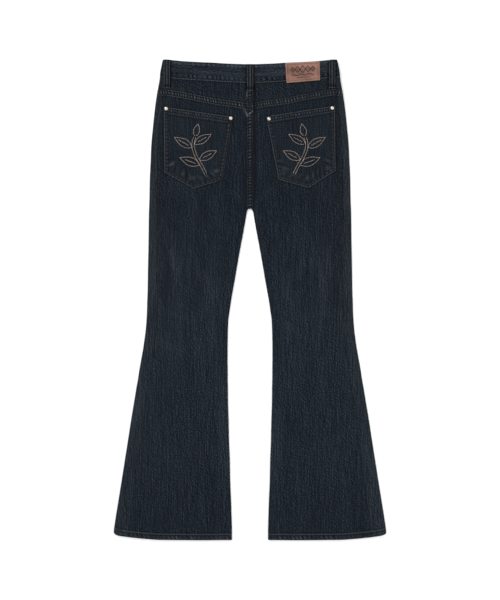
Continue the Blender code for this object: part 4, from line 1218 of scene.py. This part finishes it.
def pocket(side):
    seed = 41 if side == "left" else 46
    fine = spaced((0.0, 1.0, 0.25), (1.0, 3.0, 0.5), (3.0, 14.0, 1.0))
    across = np.concatenate([fine, spaced((15.1, 135.0, 1.25)), (150.0 - fine)[::-1]]) / 150.0
    down = np.concatenate([fine, spaced((15.1, 143.0, 1.3)), (158.0 - fine)[::-1]]) / 158.0
    u, v = across[None, :] + 0 * down[:, None], down[:, None] + 0 * across[None, :]
    x, y = pocket_at(side, u, v)
    z, wear, shade = pocket_z(side, x, y, seed)
    mouth, _, rest, _ = pocket_edges(side, x, y)
    d = np.minimum(mouth, rest)
    r = 0.8
    z = z - np.where(d < r, r - np.sqrt(np.maximum(r * r - (r - d) ** 2, 0)), 0.0)
    p = np.stack([x, y, z], -1)
    wear = wear + 0.0
    tone = 0.4 * N_B(x / 45.0, y / 60.0 + 9) - 0.1 * (1.0 - smooth(rest / 14.0))
    values = {"wear": wear, "shade": shade, "tone": tone, "brown": 0 * tone}

    def skirt(a):
        q = np.pad(a, ((1, 1), (1, 1)) + ((0, 0),) * (a.ndim - 2), mode="edge")
        return q

    p = skirt(p)
    values = {k: skirt(w) for k, w in values.items()}
    base = top_z(p[..., 0], p[..., 1]) - 0.15
    edge = np.ones(p.shape[:2], bool)
    edge[1:-1, 1:-1] = False
    p[..., 2] = np.where(edge, base, p[..., 2])
    # painted shade on the pocket's turned-down rim
    values["shade"] = np.where(edge, values["shade"] + 0.6, values["shade"])
    node = "back_pocket_" + side
    return grid("denim_" + node, p, DENIM_POCKET, (node,), flip=side == "left", values=values)


# ------------------------------------------------------------------ belt loops
LOOP_HALF = 6.9


def loop_base(y, x):
    """Height that a back loop lies on."""
    edge = band_low(x, False)
    band = BAND_TOP_Z + 0.35
    cloth = cover(np.full_like(y, x), y) + (1.05 if abs(x) < 20 else 0.0)
    t = smooth((edge + 0.6 - y) / 3.0)
    return band * (1 - t) + cloth * t


def loop_line(name):
    x, top, foot = LOOPS[name]
    y = spaced((top + 0.4, foot, 1.2))
    z = loop_base(y, x) + 1.35
    z = z + 0.35 * bell((y - (band_low(x, False) + 12.0)) / 12.0)
    return x, y, z


def loop_face(t, y, seed, foot=None):
    w = waves(y + 0.3 * np.abs(t), 6.0, seed)
    z = 0.42 * bell(t / 1.9) - 0.24 * bell((np.abs(t) - 3.4) / 0.8) + 0.10 * w * bell(t / 2.4)
    z = z + 0.12 * bell((np.abs(t) - 5.4) / 1.2)
    wear = 0.24 * bell(t / 1.3) * (0.85 + 0.3 * w) + 0.27 * bell((np.abs(t) - 5.7) / 0.85) * (0.85 + 0.3 * w)
    shade = 1.0 * bell((np.abs(t) - 3.3) / 1.05) + 0 * w
    if foot is not None:  # the bar of stitches across the foot with painted shade over it, and under it a painted highlight of pale dashes along the turned edge
        bar = bell((y - foot - 5.4) / 4.0)
        wear = wear * (1.0 - 0.75 * bar) + 0.85 * bell((y - foot - 1.0) / 1.0) * np.clip(0.6 + 0.8 * waves(t + 1.2, 5.0, seed + 3), 0.1, 1)
        shade = shade * (1.0 - 0.5 * bar) + 0.6 * bar * (0.75 + 0.4 * waves(t, 3.0, seed + 4))
    return z, wear, shade


def loops():
    out = []
    for k, name in enumerate(LOOPS):
        x, y, z = loop_line(name)
        t = np.concatenate([[-LOOP_HALF, -LOOP_HALF + 0.15], spaced((-LOOP_HALF + 0.6, LOOP_HALF - 0.6, 0.75)), [LOOP_HALF - 0.15, LOOP_HALF]])[None, :]
        foot = smooth((y - y[-1]) / 14.0)[:, None]
        narrow = (0.93 + 0.07 * foot)
        fz, wear, shade = loop_face(t, y[:, None], 51 + k, y[-1])
        zz = z[:, None] + fz
        drop = np.where(np.abs(t) > LOOP_HALF - 0.05, 1.4, np.where(np.abs(t) > LOOP_HALF - 0.3, 0.45, 0.0))
        bar = bell((y[:, None] - y[-1] - 2.3) / 1.2)
        zz = zz - drop - 0.3 * bar
        p = np.stack([x + t * narrow, y[:, None] + 0 * t, zz], -1)
        ends = []
        for q, dy in ((p[:1], 0.3), (p[-1:], -0.3)):
            q = q.copy()
            q[..., 1] += dy
            q[..., 2] = q[..., 2] - 0.5
            q2 = q.copy()
            q2[..., 2] -= 1.0
            ends.append((q, q2))
        p = np.concatenate([ends[0][1], ends[0][0], p, ends[1][0], ends[1][1]])
        pad = lambda v: np.concatenate([v[:1], v[:1], v, v[-1:], v[-1:]])  # noqa: E731
        values = {"wear": pad(wear), "shade": pad(shade), "tone": pad(0.2 * N_B(t / 3.0, y[:, None] / 20.0) + 0 * wear), "brown": pad(0 * wear)}
        out.append(grid("denim_" + name, p, DENIM_LOOP, (name,), flip=False, values=values))
    for k, (name, x) in enumerate(FRONT_LOOPS.items()):
        top = float(min(band_top(abs(x) - LOOP_HALF, True), band_top(x, True))) - 0.3
        y = spaced((top, top - 58.0, 1.6))
        t = np.concatenate([[-LOOP_HALF, -LOOP_HALF + 0.15], spaced((-LOOP_HALF + 0.6, LOOP_HALF - 0.6, 0.95)), [LOOP_HALF - 0.15, LOOP_HALF]])[None, :]
        fz, wear, shade = loop_face(t, y[:, None], 61 + k)
        z = 0.42 - 0.6 * fz + np.where(np.abs(t) > LOOP_HALF - 0.05, 1.0, np.where(np.abs(t) > LOOP_HALF - 0.3, 0.3, 0.0))
        p = np.stack([x + t + 0 * y[:, None], y[:, None] + 0 * t, np.maximum(z, 0.06)], -1)
        first, last = p[:1].copy(), p[-1:].copy()
        first[..., 2] += 0.9
        last[..., 2] += 0.9
        p = np.concatenate([first, p, last])
        pad = lambda v: np.concatenate([v[:1], v, v[-1:]])  # noqa: E731
        values = {"wear": pad(wear), "shade": pad(shade), "tone": pad(0 * wear), "brown": pad(0 * wear)}
        out.append(grid("denim_" + name, p, DENIM_LOOP, (name,), flip=True, values=values))
    return out


# ------------------------------------------------------------------ patch
def patch():
    a, b, c, d = (np.array(q) for q in PATCH)
    fine = spaced((0.0, 0.9, 0.3), (0.9, 4.0, 0.52))
    wide = np.concatenate([fine, spaced((4.5, 69.5, 0.5)), (74.0 - fine)[::-1]]) / 74.0
    tall = np.concatenate([fine, spaced((4.5, 37.5, 0.5)), (42.0 - fine)[::-1]]) / 42.0
    u, v = wide[None, :] + 0 * tall[:, None], tall[:, None] + 0 * wide[None, :]
    top = a + (b - a) * u[..., None]
    foot = d + (c - d) * u[..., None]
    xy = top + (foot - top) * v[..., None]
    px, py = u * 74.0, (1 - v) * 42.0  # patch's own coordinates from its lower left corner
    e = np.minimum(np.minimum(px, 74 - px), np.minimum(py, 42 - py))
    mark = emblem((px - 37.0) / 1.12, (py - 21.5) / 1.12)
    border = bell((e - 3.4) / 0.42) + 0.7 * bell((e - 4.9) / 0.3)
    z = BAND_TOP_Z + 0.45 + 1.35 - np.where(e < 0.9, 0.9 - np.sqrt(np.maximum(0.81 - (0.9 - e) ** 2, 0)), 0.0)
    z = z + 0.25 * N_A(px / 18.0, py / 14.0) * smooth(e / 5.0) - 0.22 * np.clip(mark + 0.8 * border, 0, 1)
    z = z + 0.5 * smooth((px + py - 76.0) / 40.0)
    p = np.stack([xy[..., 0], xy[..., 1], z], -1)
    p = np.pad(p, ((1, 1), (1, 1), (0, 0)), mode="edge")
    edge = np.ones(p.shape[:2], bool)
    edge[1:-1, 1:-1] = False
    p[..., 2] = np.where(edge, p[..., 2] - 1.1, p[..., 2])
    pad = lambda w: np.pad(w, ((1, 1), (1, 1)), mode="edge")  # noqa: E731
    values = {"wear": pad(0.5 * bell((e - 0.9) / 0.8)), "shade": pad(np.clip(mark + 0.7 * border, 0, 1) + 0.35 * bell(e / 0.5)), "tone": pad(0 * e)}
    return grid("leather_patch", p, LEATHER, ("patch",), flip=True, values=values)


def emblem(x, y):
    """A plain stamped ornament: a row of lozenges with a dot in each, over two rules."""
    m = 0 * x
    for k in (-2, -1, 0, 1, 2):
        size = (5.6, 4.8, 4.0)[abs(k)]
        cx = k * 10.4 - 0.3 * k * abs(k)
        r = np.abs(x - cx) / size + np.abs(y - 4.6) / (size * 1.15)
        m = m + bell((r - 1.0) * size / 1.35) + bell(r * size / 1.6)
    m = m + 0.95 * bell((y + 5.8 + 1.1 * np.sin(x / 2.6)) / 1.15) * smooth((22.0 - np.abs(x)) / 1.0)
    m = m + 0.8 * bell((y + 11.0) / 0.9) * smooth((13.0 - np.abs(x)) / 1.0)
    return np.clip(m, 0, 1)


# ------------------------------------------------------------------ stitches
def capsule(sides=5):
    """Template of one stitch along T: rings of (t, drop, radius)."""
    rings = [(-0.5, -0.95, 0.35), (-0.34, -0.15, 0.9), (0.0, 0.28, 1.0), (0.34, -0.15, 0.9), (0.5, -0.95, 0.35)]
    a = np.linspace(0, 2 * math.pi, sides, endpoint=False)
    v = [(t, math.cos(q) * r, math.sin(q) * r * 0.8 + h) for t, h, r in rings for q in a]
    f = []
    for i in range(len(rings) - 1):
        for k in range(sides):
            j = (k + 1) % sides
            f.append((i * sides + k, i * sides + j, (i + 1) * sides + j, (i + 1) * sides + k))
    return np.array(v), np.array(f)


CAPSULE = capsule()


def along(points, pitch, start=0.0):
    """Stitch centres and directions at a pitch along a dense path."""
    p = np.asarray(points, float)
    step = np.linalg.norm(np.diff(p, axis=0), axis=1)
    s = np.concatenate([[0], np.cumsum(step)])
    n = int((s[-1] - start) / pitch)
    at = start + pitch * (np.arange(n) + 0.5)
    ends = [np.stack([np.interp(at + k * 0.36 * pitch, s, p[:, i]) for i in range(3)], -1) for k in (-1, 1)]
    c = np.stack([np.interp(at, s, p[:, i]) for i in range(3)], -1)
    t = ends[1] - ends[0]
    return c, t / np.maximum(np.linalg.norm(t, axis=1, keepdims=True), 1e-9)


def sew(name, rows, material, radius=0.38, length=2.55, pitch=3.0, up=(0, 0, 1), seed=1, raise_by=0.12):
    """One mesh of stitches along paths."""
    tv, tf = CAPSULE
    centres, ways = [], []
    for k, r in enumerate(rows):
        c, t = along(r, pitch, start=0.3 * (k % 3))
        centres.append(c)
        ways.append(t)
    c, t = np.concatenate(centres), np.concatenate(ways)
    rng = np.random.default_rng(seed)
    n = np.array(up, float)[None, :] + 0 * t
    side = np.cross(n, t)
    side /= np.maximum(np.linalg.norm(side, axis=1, keepdims=True), 1e-9)
    n = np.cross(t, side)
    yaw = rng.normal(0, 0.035, len(c))[:, None]
    t = t + side * yaw
    size = rng.uniform(0.92, 1.06, len(c))[:, None, None]
    v = (
        (c + n * raise_by)[:, None, :]
        + t[:, None, :] * (tv[None, :, :1] * length * size)
        + side[:, None, :] * (tv[None, :, 1:2] * radius)
        + n[:, None, :] * (tv[None, :, 2:3] * radius)
    )
    f = tf[None] + (np.arange(len(c)) * len(tv))[:, None, None]
    mesh = bpy.data.meshes.new(name)
    tone = np.repeat(rng.uniform(0, 1, len(c)), len(tv))
    fill(mesh, v.reshape(-1, 3), f.reshape(-1, 4), {"tone": tone})
    return made(name, mesh, material)


def on(face, xy):
    xy = np.asarray(xy, float)
    return np.stack([xy[:, 0], xy[:, 1], face(xy[:, 0], xy[:, 1])], -1)


def dense(corners, step=0.8):
    out = []
    for (x0, y0), (x1, y1) in zip(corners, corners[1:]):
        n = max(2, int(math.hypot(x1 - x0, y1 - y0) / step))
        t = np.linspace(0, 1, n, endpoint=False)
        out += [(x0 + (x1 - x0) * q, y0 + (y1 - y0) * q) for q in t]
    return np.array(out + [corners[-1]])


def inset(corners, d, centre):
    """An open polyline moved d toward centre, its corners kept sharp."""
    lines = []
    for (x0, y0), (x1, y1) in zip(corners, corners[1:]):
        dx, dy = x1 - x0, y1 - y0
        length = math.hypot(dx, dy)
        nx, ny = -dy / length, dx / length
        if (centre[0] - x0) * nx + (centre[1] - y0) * ny < 0:
            nx, ny = -nx, -ny
        lines.append(((x0 + nx * d, y0 + ny * d), (dx / length, dy / length)))
    out = [lines[0][0]]
    for (p, a), (q, b) in zip(lines, lines[1:]):
        cross = a[0] * b[1] - a[1] * b[0]
        t = ((q[0] - p[0]) * b[1] - (q[1] - p[1]) * b[0]) / cross
        out.append((p[0] + a[0] * t, p[1] + a[1] * t))
    (p, a) = lines[-1]
    t = (corners[-1][0] - p[0]) * a[0] + (corners[-1][1] - p[1]) * a[1]
    out.append((p[0] + a[0] * t, p[1] + a[1] * t))
    return out


def pocket_lines(side, d):
    st, ct, cl, tip, sl = POCKETS[side]
    centre = (sum(q[0] for q in POCKETS[side]) / 5, sum(q[1] for q in POCKETS[side]) / 5)
    return dense(inset([st, sl, tip, cl, ct], d, centre)), dense(inset([st, ct], d, centre))


def seams():
    out = []
    # yoke and waistband rows
    rows = []
    for s, seed in ((-1, 13), (1, 18)):
        for d in YOKE_ROWS:
            x = np.linspace(8.0, 184.0, 220)
            rows.append(on(lambda a, b, k=seed: yoke_face(a, b, k)[0], np.stack([s * x, yoke_y(x) + d], -1)))
    for d in SEAM_ROWS:
        y = np.linspace(199.5, 455.0, 320)
        x = SEAM_RIGHT - d + 0 * y
        z = cover(x, y) + 1.05 - 0.26 + 0.1 * waves(y + 0.3 * d, 7.2, 31)
        rows.append(np.stack([x, y, z], -1))
    out.append(sew("stitches_back_seams", rows, THREAD, seed=2))
    rows = []
    x = np.linspace(-184.0, 184.0, 460)
    for y in (band_low(x, False) + BAND_ROW_LOW, band_top(x, False) - BAND_ROW_TOP):
        z = BAND_TOP_Z + band_face(x, y, False)[0]
        rows.append(np.stack([x, y, z], -1))
    out.append(sew("stitches_waistband_back", rows, THREAD, seed=3))
    # pockets
    rows = []
    for side, seed in (("left", 41), ("right", 46)):
        face = lambda a, b, k=seed, q=side: pocket_z(q, a, b, k)[0]  # noqa: E731
        for d in POCKET_ROWS:
            rows.append(on(face, pocket_lines(side, d)[0]))
        for d in MOUTH_ROWS:
            line = pocket_lines(side, d)[1]
            rows.append(on(face, line[8:-8]))
    out.append(sew("stitches_pockets", rows, THREAD, seed=4))
    # hems, on the back and wrapped strip
    rows = []
    for s, seed in ((-1, 3), (1, 8)):
        x = np.linspace(42.0, 290.0, 300)
        y = hem_y(x) + 11.5
        z = top_z(s * x, y) + hem_ripples(s * x, y, seed)[0]
        rows.append(np.stack([s * x, y, z], -1))
    out.append(sew("stitches_hems_back", rows, THREAD, seed=5, pitch=3.2, length=2.7))
    # loops
    rows, bars = [], []
    for k, name in enumerate(LOOPS):
        x, y, z = loop_line(name)
        for t in (-3.5, 3.5):
            rows.append(np.stack([x + t + 0 * y, y, z + loop_face(t, y, 51 + k)[0]], -1)[1:-2])
        half = 6.2
        for end, off in ((-1, 2.3), (0, -1.6)):
            yy = y[end] + off
            zz = float(np.interp(-yy, -y, z)) + 0.12
            zig = [(x - half + 2 * half * q / 22.0, yy + (0.9 if q % 2 else -0.9), zz) for q in range(23)]
            bars.append(np.array(zig))
    out.append(sew("stitches_belt_loops", rows, THREAD, seed=6, pitch=2.9, length=2.5))
    out.append(tack("bartacks_belt_loops", bars, THREAD))
    return out


def tack(name, lines, material, radius=0.34):
    """Close zigzags of thread as thin tubes, one mesh."""
    verts, faces, tones = [], [], []
    sides = 5
    for line in lines:
        p = np.asarray(line, float)
        t = np.gradient(p, axis=0)
        t /= np.maximum(np.linalg.norm(t, axis=1, keepdims=True), 1e-9)
        up = np.array([0, 0, 1.0])
        b = np.cross(t, up)
        b /= np.maximum(np.linalg.norm(b, axis=1, keepdims=True), 1e-9)
        n = np.cross(b, t)
        start = len(verts)
        for i in range(len(p)):
            for k in range(sides):
                a = 2 * math.pi * k / sides
                verts.append(p[i] + radius * (math.cos(a) * b[i] + math.sin(a) * n[i]))
                tones.append(0.5)
        for i in range(len(p) - 1):
            for k in range(sides):
                j = (k + 1) % sides
                faces.append((start + i * sides + k, start + i * sides + j, start + (i + 1) * sides + j, start + (i + 1) * sides + k))
    mesh = bpy.data.meshes.new(name)
    fill(mesh, np.array(verts), np.array(faces), {"tone": np.array(tones)})
    return made(name, mesh, material)


# ------------------------------------------------------------------ pocket embroidery: a plain leaf sprig
def leaf(x0, y0, angle, length, width, n=40):
    """Outline of a pointed leaf from its foot, as (x, y) points."""
    t = np.linspace(0, 1, n)
    half = width * 0.5 * np.sin(math.pi * t**0.85) ** 1.05
    a = math.radians(angle)
    ux, uy = math.sin(a), math.cos(a)
    left = np.stack([x0 + ux * t * length - uy * half, y0 + uy * t * length + ux * half], -1)
    right = np.stack([x0 + ux * t * length + uy * half, y0 + uy * t * length - ux * half], -1)
    return np.concatenate([left, right[::-1]])


SPRIG = {  # stem as x, y offsets from the pocket's middle for the left pocket; the right one is its mirror
    "stem": [(22.0, -54.0), (13.0, -36.0), (3.0, -19.0), (-4.0, -1.0), (-5.0, 14.0), (-1.0, 27.0)],
    "leaves": [  # share along the stem, side, angle, length, width
        (0.24, -1, -70.0, 46.0, 18.0), (0.34, 1, 62.0, 42.0, 17.0), (0.66, -1, -60.0, 44.0, 17.0), (0.76, 1, 60.0, 42.0, 16.0),
    ],
}


def spline(points, n=90):
    """A smooth line through points."""
    p = np.array(points, float)
    p = np.concatenate([[2 * p[0] - p[1]], p, [2 * p[-1] - p[-2]]])
    out = []
    for i in range(1, len(p) - 2):
        for t in np.linspace(0, 1, n // (len(p) - 3), endpoint=False):
            a, b, c, d = p[i - 1 : i + 3]
            out.append(0.5 * (2 * b + (c - a) * t + (2 * a - 5 * b + 4 * c - d) * t * t + (3 * b - a - 3 * c + d) * t**3))
    out.append(p[-2])
    return np.array(out)


def embroidery():
    rows = []
    for side, seed in (("left", 41), ("right", 46)):
        s = 1.0 if side == "left" else -1.0
        corners = POCKETS[side]
        cx = 0.25 * (corners[0][0] + corners[1][0] + corners[2][0] + corners[4][0]) - s * 1.0
        cy = 326.0
        face = lambda a, b, k=seed, q=side: pocket_z(q, a, b, k)[0]  # noqa: E731
        stem = spline(SPRIG["stem"])
        t = np.gradient(stem, axis=0)
        t /= np.linalg.norm(t, axis=1, keepdims=True)
        off = np.stack([-t[:, 1], t[:, 0]], -1)
        for k in (-2.6, 2.6):
            line = stem + off * k
            rows.append(on(face, np.stack([cx + s * line[:, 0], cy + line[:, 1]], -1)))
        tip = leaf(stem[-1][0], stem[-1][1], 14.0, 28.0, 13.0)
        rows.append(on(face, np.stack([cx + s * tip[:, 0], cy + tip[:, 1]], -1)))
        for share, way, angle, length, width in SPRIG["leaves"]:
            k = int(share * (len(stem) - 1))
            foot = stem[k] - off[k] * way * 2.6
            line = leaf(foot[0], foot[1], angle, length, width)
            rows.append(on(face, np.stack([cx + s * line[:, 0], cy + line[:, 1]], -1)))
            a = math.radians(angle)
            rib = np.linspace(0.2, 0.78, 20)[:, None] * np.array([[math.sin(a), math.cos(a)]]) * length + np.array(foot)
            rows.append(on(face, np.stack([cx + s * rib[:, 0], cy + rib[:, 1]], -1)))
    return sew("embroidery_pockets", rows, THREAD_BEIGE, radius=0.29, length=2.7, pitch=3.5, seed=9, raise_by=0.15)


# ------------------------------------------------------------------ rivets, button, zip
def turned(name, profile, at, material, nodes, steps=40, dark=99.0):
    """A turned metal part; its flange is painted dark beyond the radius called dark, a painted reflection of darker
    surroundings on its sloping rim.
    """
    a = np.linspace(0, 2 * math.pi, steps, endpoint=False)
    p = np.array([[(at[0] + r * math.cos(q), at[1] + r * math.sin(q), at[2] + z) for q in a] for r, z in profile])
    flange_shade = np.array([[smooth((r - dark) / 0.25) for q in a] for r, z in profile])
    return grid(name, p, material, nodes, flip=False, closed=True, values={"shade": 0.92 * flange_shade})


def rivets():
    out = []
    for name, (x, y) in RIVETS.items():
        side = "left" if "left" in name else "right"
        seed = 41 if side == "left" else 46
        z = float(pocket_z(side, np.array([x]), np.array([y]), seed)[0][0]) + 0.1
        profile = [(4.1, -0.5), (4.3, 0.0), (4.35, 0.25), (4.2, 0.42), (3.95, 0.46), (3.75, 0.42), (3.6, 0.55), (3.5, 0.9), (3.25, 1.35), (2.75, 1.7), (2.15, 1.93), (1.4, 2.06), (0.7, 2.12), (0.02, 2.13)]
        # the flange beyond 3.5 mm is painted dark: a painted reflection, not a colour of the metal
        out.append(turned("metal_" + name, profile, (x, y, z), RIVET, (name,), dark=3.5))
    y = 0.5 * float(band_top(0.0, True) + band_low(0.0, True))
    profile = [(0.02, 0.05), (4.0, 0.05), (5.6, 0.12), (6.0, 0.3), (6.4, 0.3), (6.9, 0.08), (7.9, 0.08), (8.4, 0.35), (8.5, 0.7), (8.3, 1.0), (7.6, 1.2), (3.0, 1.25), (2.6, 1.6)]
    out.append(turned("metal_waist_button", profile, (2.0, y, 0.0), RIVET, ("waist_button",), 48))
    return out


def front_trim():
    """Stitches of the front and of the hidden side: fly, pocket mouths, waistband, hems and loops."""
    rows = []
    line = dense(FLY)
    for d in (0.0, 6.0):
        pts = line.copy()
        if d:
            t = np.gradient(line, axis=0)
            t /= np.linalg.norm(t, axis=1, keepdims=True)
            pts = line + np.stack([-t[:, 1], t[:, 0]], -1) * d
        pts = pts[pts[:, 0] < -1.0]
        rows.append(np.stack([pts[:, 0], pts[:, 1], low(pts[:, 1]) + LIFT], -1))
    for s in (-1, 1):
        for d in (2.0, 8.6):
            x = np.linspace(SCOOP_START + 2, 190.0, 150)
            y = scoop(x) - d
            rows.append(np.stack([s * x, y, low(y) + LIFT], -1))
        x = np.linspace(42.0, 288.0, 260)
        y = hem_y(x) + 11.5
        rows.append(np.stack([s * x, y, low(y) + LIFT], -1))
    for x in (-3.0, -9.0):
        y = np.linspace(CROTCH_Y + 3, 356.0, 160)
        rows.append(np.stack([x + 0 * y, y, low(y) + LIFT], -1))
    for a, b in ((-184.0, 16.0), (20.0, 184.0)):
        x = np.linspace(a, b, 220)
        for y in (band_low(x, True) + BAND_ROW_LOW, band_top(x, True) - BAND_ROW_TOP):
            rows.append(np.stack([x, y, 0 * x + BAND_BOTTOM_Z + 0.05], -1))
    for x in FRONT_LOOPS.values():
        top = float(min(band_top(abs(x) - LOOP_HALF, True), band_top(x, True))) - 0.3
        y = np.linspace(top - 1, top - 57.0, 60)
        for t in (-3.5, 3.5):
            rows.append(np.stack([x + t + 0 * y, y, 0 * y + 0.52], -1))
    return sew("stitches_front", rows, THREAD, radius=0.32, up=(0, 0, -1), seed=7, pitch=3.2, length=2.6, raise_by=0.0)


def side_stitches():
    """The pocket mouth's two rows where they come round the side onto the back."""
    rows = []
    for s in (-1, 1):
        for d in (2.0, 8.6):
            y = SCOOP_END_Y - d
            ro = 0.5 * float(high(y) - low(y))
            a = np.radians(np.linspace(10, 180, 30))
            x = outer(y) - ro + (ro + 0.1) * np.sin(a)
            z = low(y) + ro - (ro + 0.1) * np.cos(a)
            xb = np.linspace(float(outer(y)) - ro - 0.3, float(side_seam(y)) + 1.2, 20)
            x = np.concatenate([x, xb])
            z = np.concatenate([z, high(y) + 0.15 + 0 * xb])
            rows.append(np.stack([s * x, y + 0 * x, z], -1))
    return sew("stitches_pocket_mouths", rows, THREAD, seed=12, pitch=2.9, length=2.4)


def fly_zip():
    y = np.linspace(450.0, 352.0, 40)[:, None]
    x = spaced((-13.0, 13.0, 1.0))[None, :]
    z = low(y) + DENIM + 0.6 + 0.7 * (1 - smooth((np.abs(x) - 2.6) / 0.8)) + 0 * x
    p = np.stack([x + 0 * y, y + 0 * x, z + 0.2], -1)
    values = {k: 0 * z for k in ("wear", "shade", "tone", "brown")}
    return grid("zip_tape", p, TAPE, ("fly_zip",), values=values)


# ------------------------------------------------------------------ build
back_l, back_r = back_panel("left"), back_panel("right")
yoke_l, yoke_r = yoke("left"), yoke("right")
front_l, front_r = front_panel("left"), front_panel("right")
facing_l, facing_r = facing("left"), facing("right")
band = waistband()
seam = centre_seam()
pocket_l, pocket_r = pocket("left"), pocket("right")
belt_loops = loops()
leather_patch = patch()
thread_pieces = seams()
sprigs = embroidery()
rivets()
front_stitches = front_trim()
mouth_stitches = side_stitches()
zip_piece = fly_zip()


# ------------------------------------------------------------------ stage
def stage():
    floor_mesh = bpy.data.meshes.new("floor")
    s = 4.0
    floor_mesh.from_pydata([(-s, -s, -0.0003), (s, -s, -0.0003), (s, s, -0.0003), (-s, s, -0.0003)], [], [(0, 1, 2, 3)])
    floor = bpy.data.objects.new("floor", floor_mesh)
    bpy.context.scene.collection.objects.link(floor)
    m, nt, p = new_material("floor_white")
    p.inputs["Base Color"].default_value = (0.99, 0.99, 0.99, 1)
    p.inputs["Roughness"].default_value = 0.9
    p.inputs["Specular IOR Level"].default_value = 0.1
    floor_mesh.materials.append(m)

    def area(name, at, aim, size, power):
        d = bpy.data.lights.new(name, "AREA")
        d.shape, d.size, d.energy = "DISK", size, power
        o = bpy.data.objects.new(name, d)
        o.location = at
        from mathutils import Vector

        o.rotation_euler = (Vector(aim) - Vector(at)).to_track_quat("-Z", "Y").to_euler()
        bpy.context.scene.collection.objects.link(o)

    area("key", (-1.7, 2.3, 2.1), (0, 0.0, 0), 1.3, 68.0)
    area("fill", (2.2, -1.0, 2.6), (0, 0, 0), 2.4, 32.0)
    world = bpy.data.worlds.new("studio")
    world.use_nodes = True
    bg = world.node_tree.nodes["Background"]
    bg.inputs[0].default_value = (1, 1, 1, 1)
    bg.inputs[1].default_value = 0.92
    bpy.context.scene.world = world
    view = bpy.context.scene.view_settings
    view.view_transform = "Standard"
    view.look = "None"
    view.exposure = 0.0
    view.gamma = 1.0


def camera():
    c = bpy.data.cameras.new("camera")
    c.sensor_width = 36.0
    height = 3.0
    c.lens = 36.0 * (height - 0.005) / 1.296
    c.clip_start, c.clip_end = 0.05, 50.0
    o = bpy.data.objects.new("camera", c)
    o.location = (0.0, 0.0, height)
    o.rotation_euler = (0.0, 0.0, 0.0)
    bpy.context.scene.collection.objects.link(o)
    bpy.context.scene.camera = o


stage()
camera()
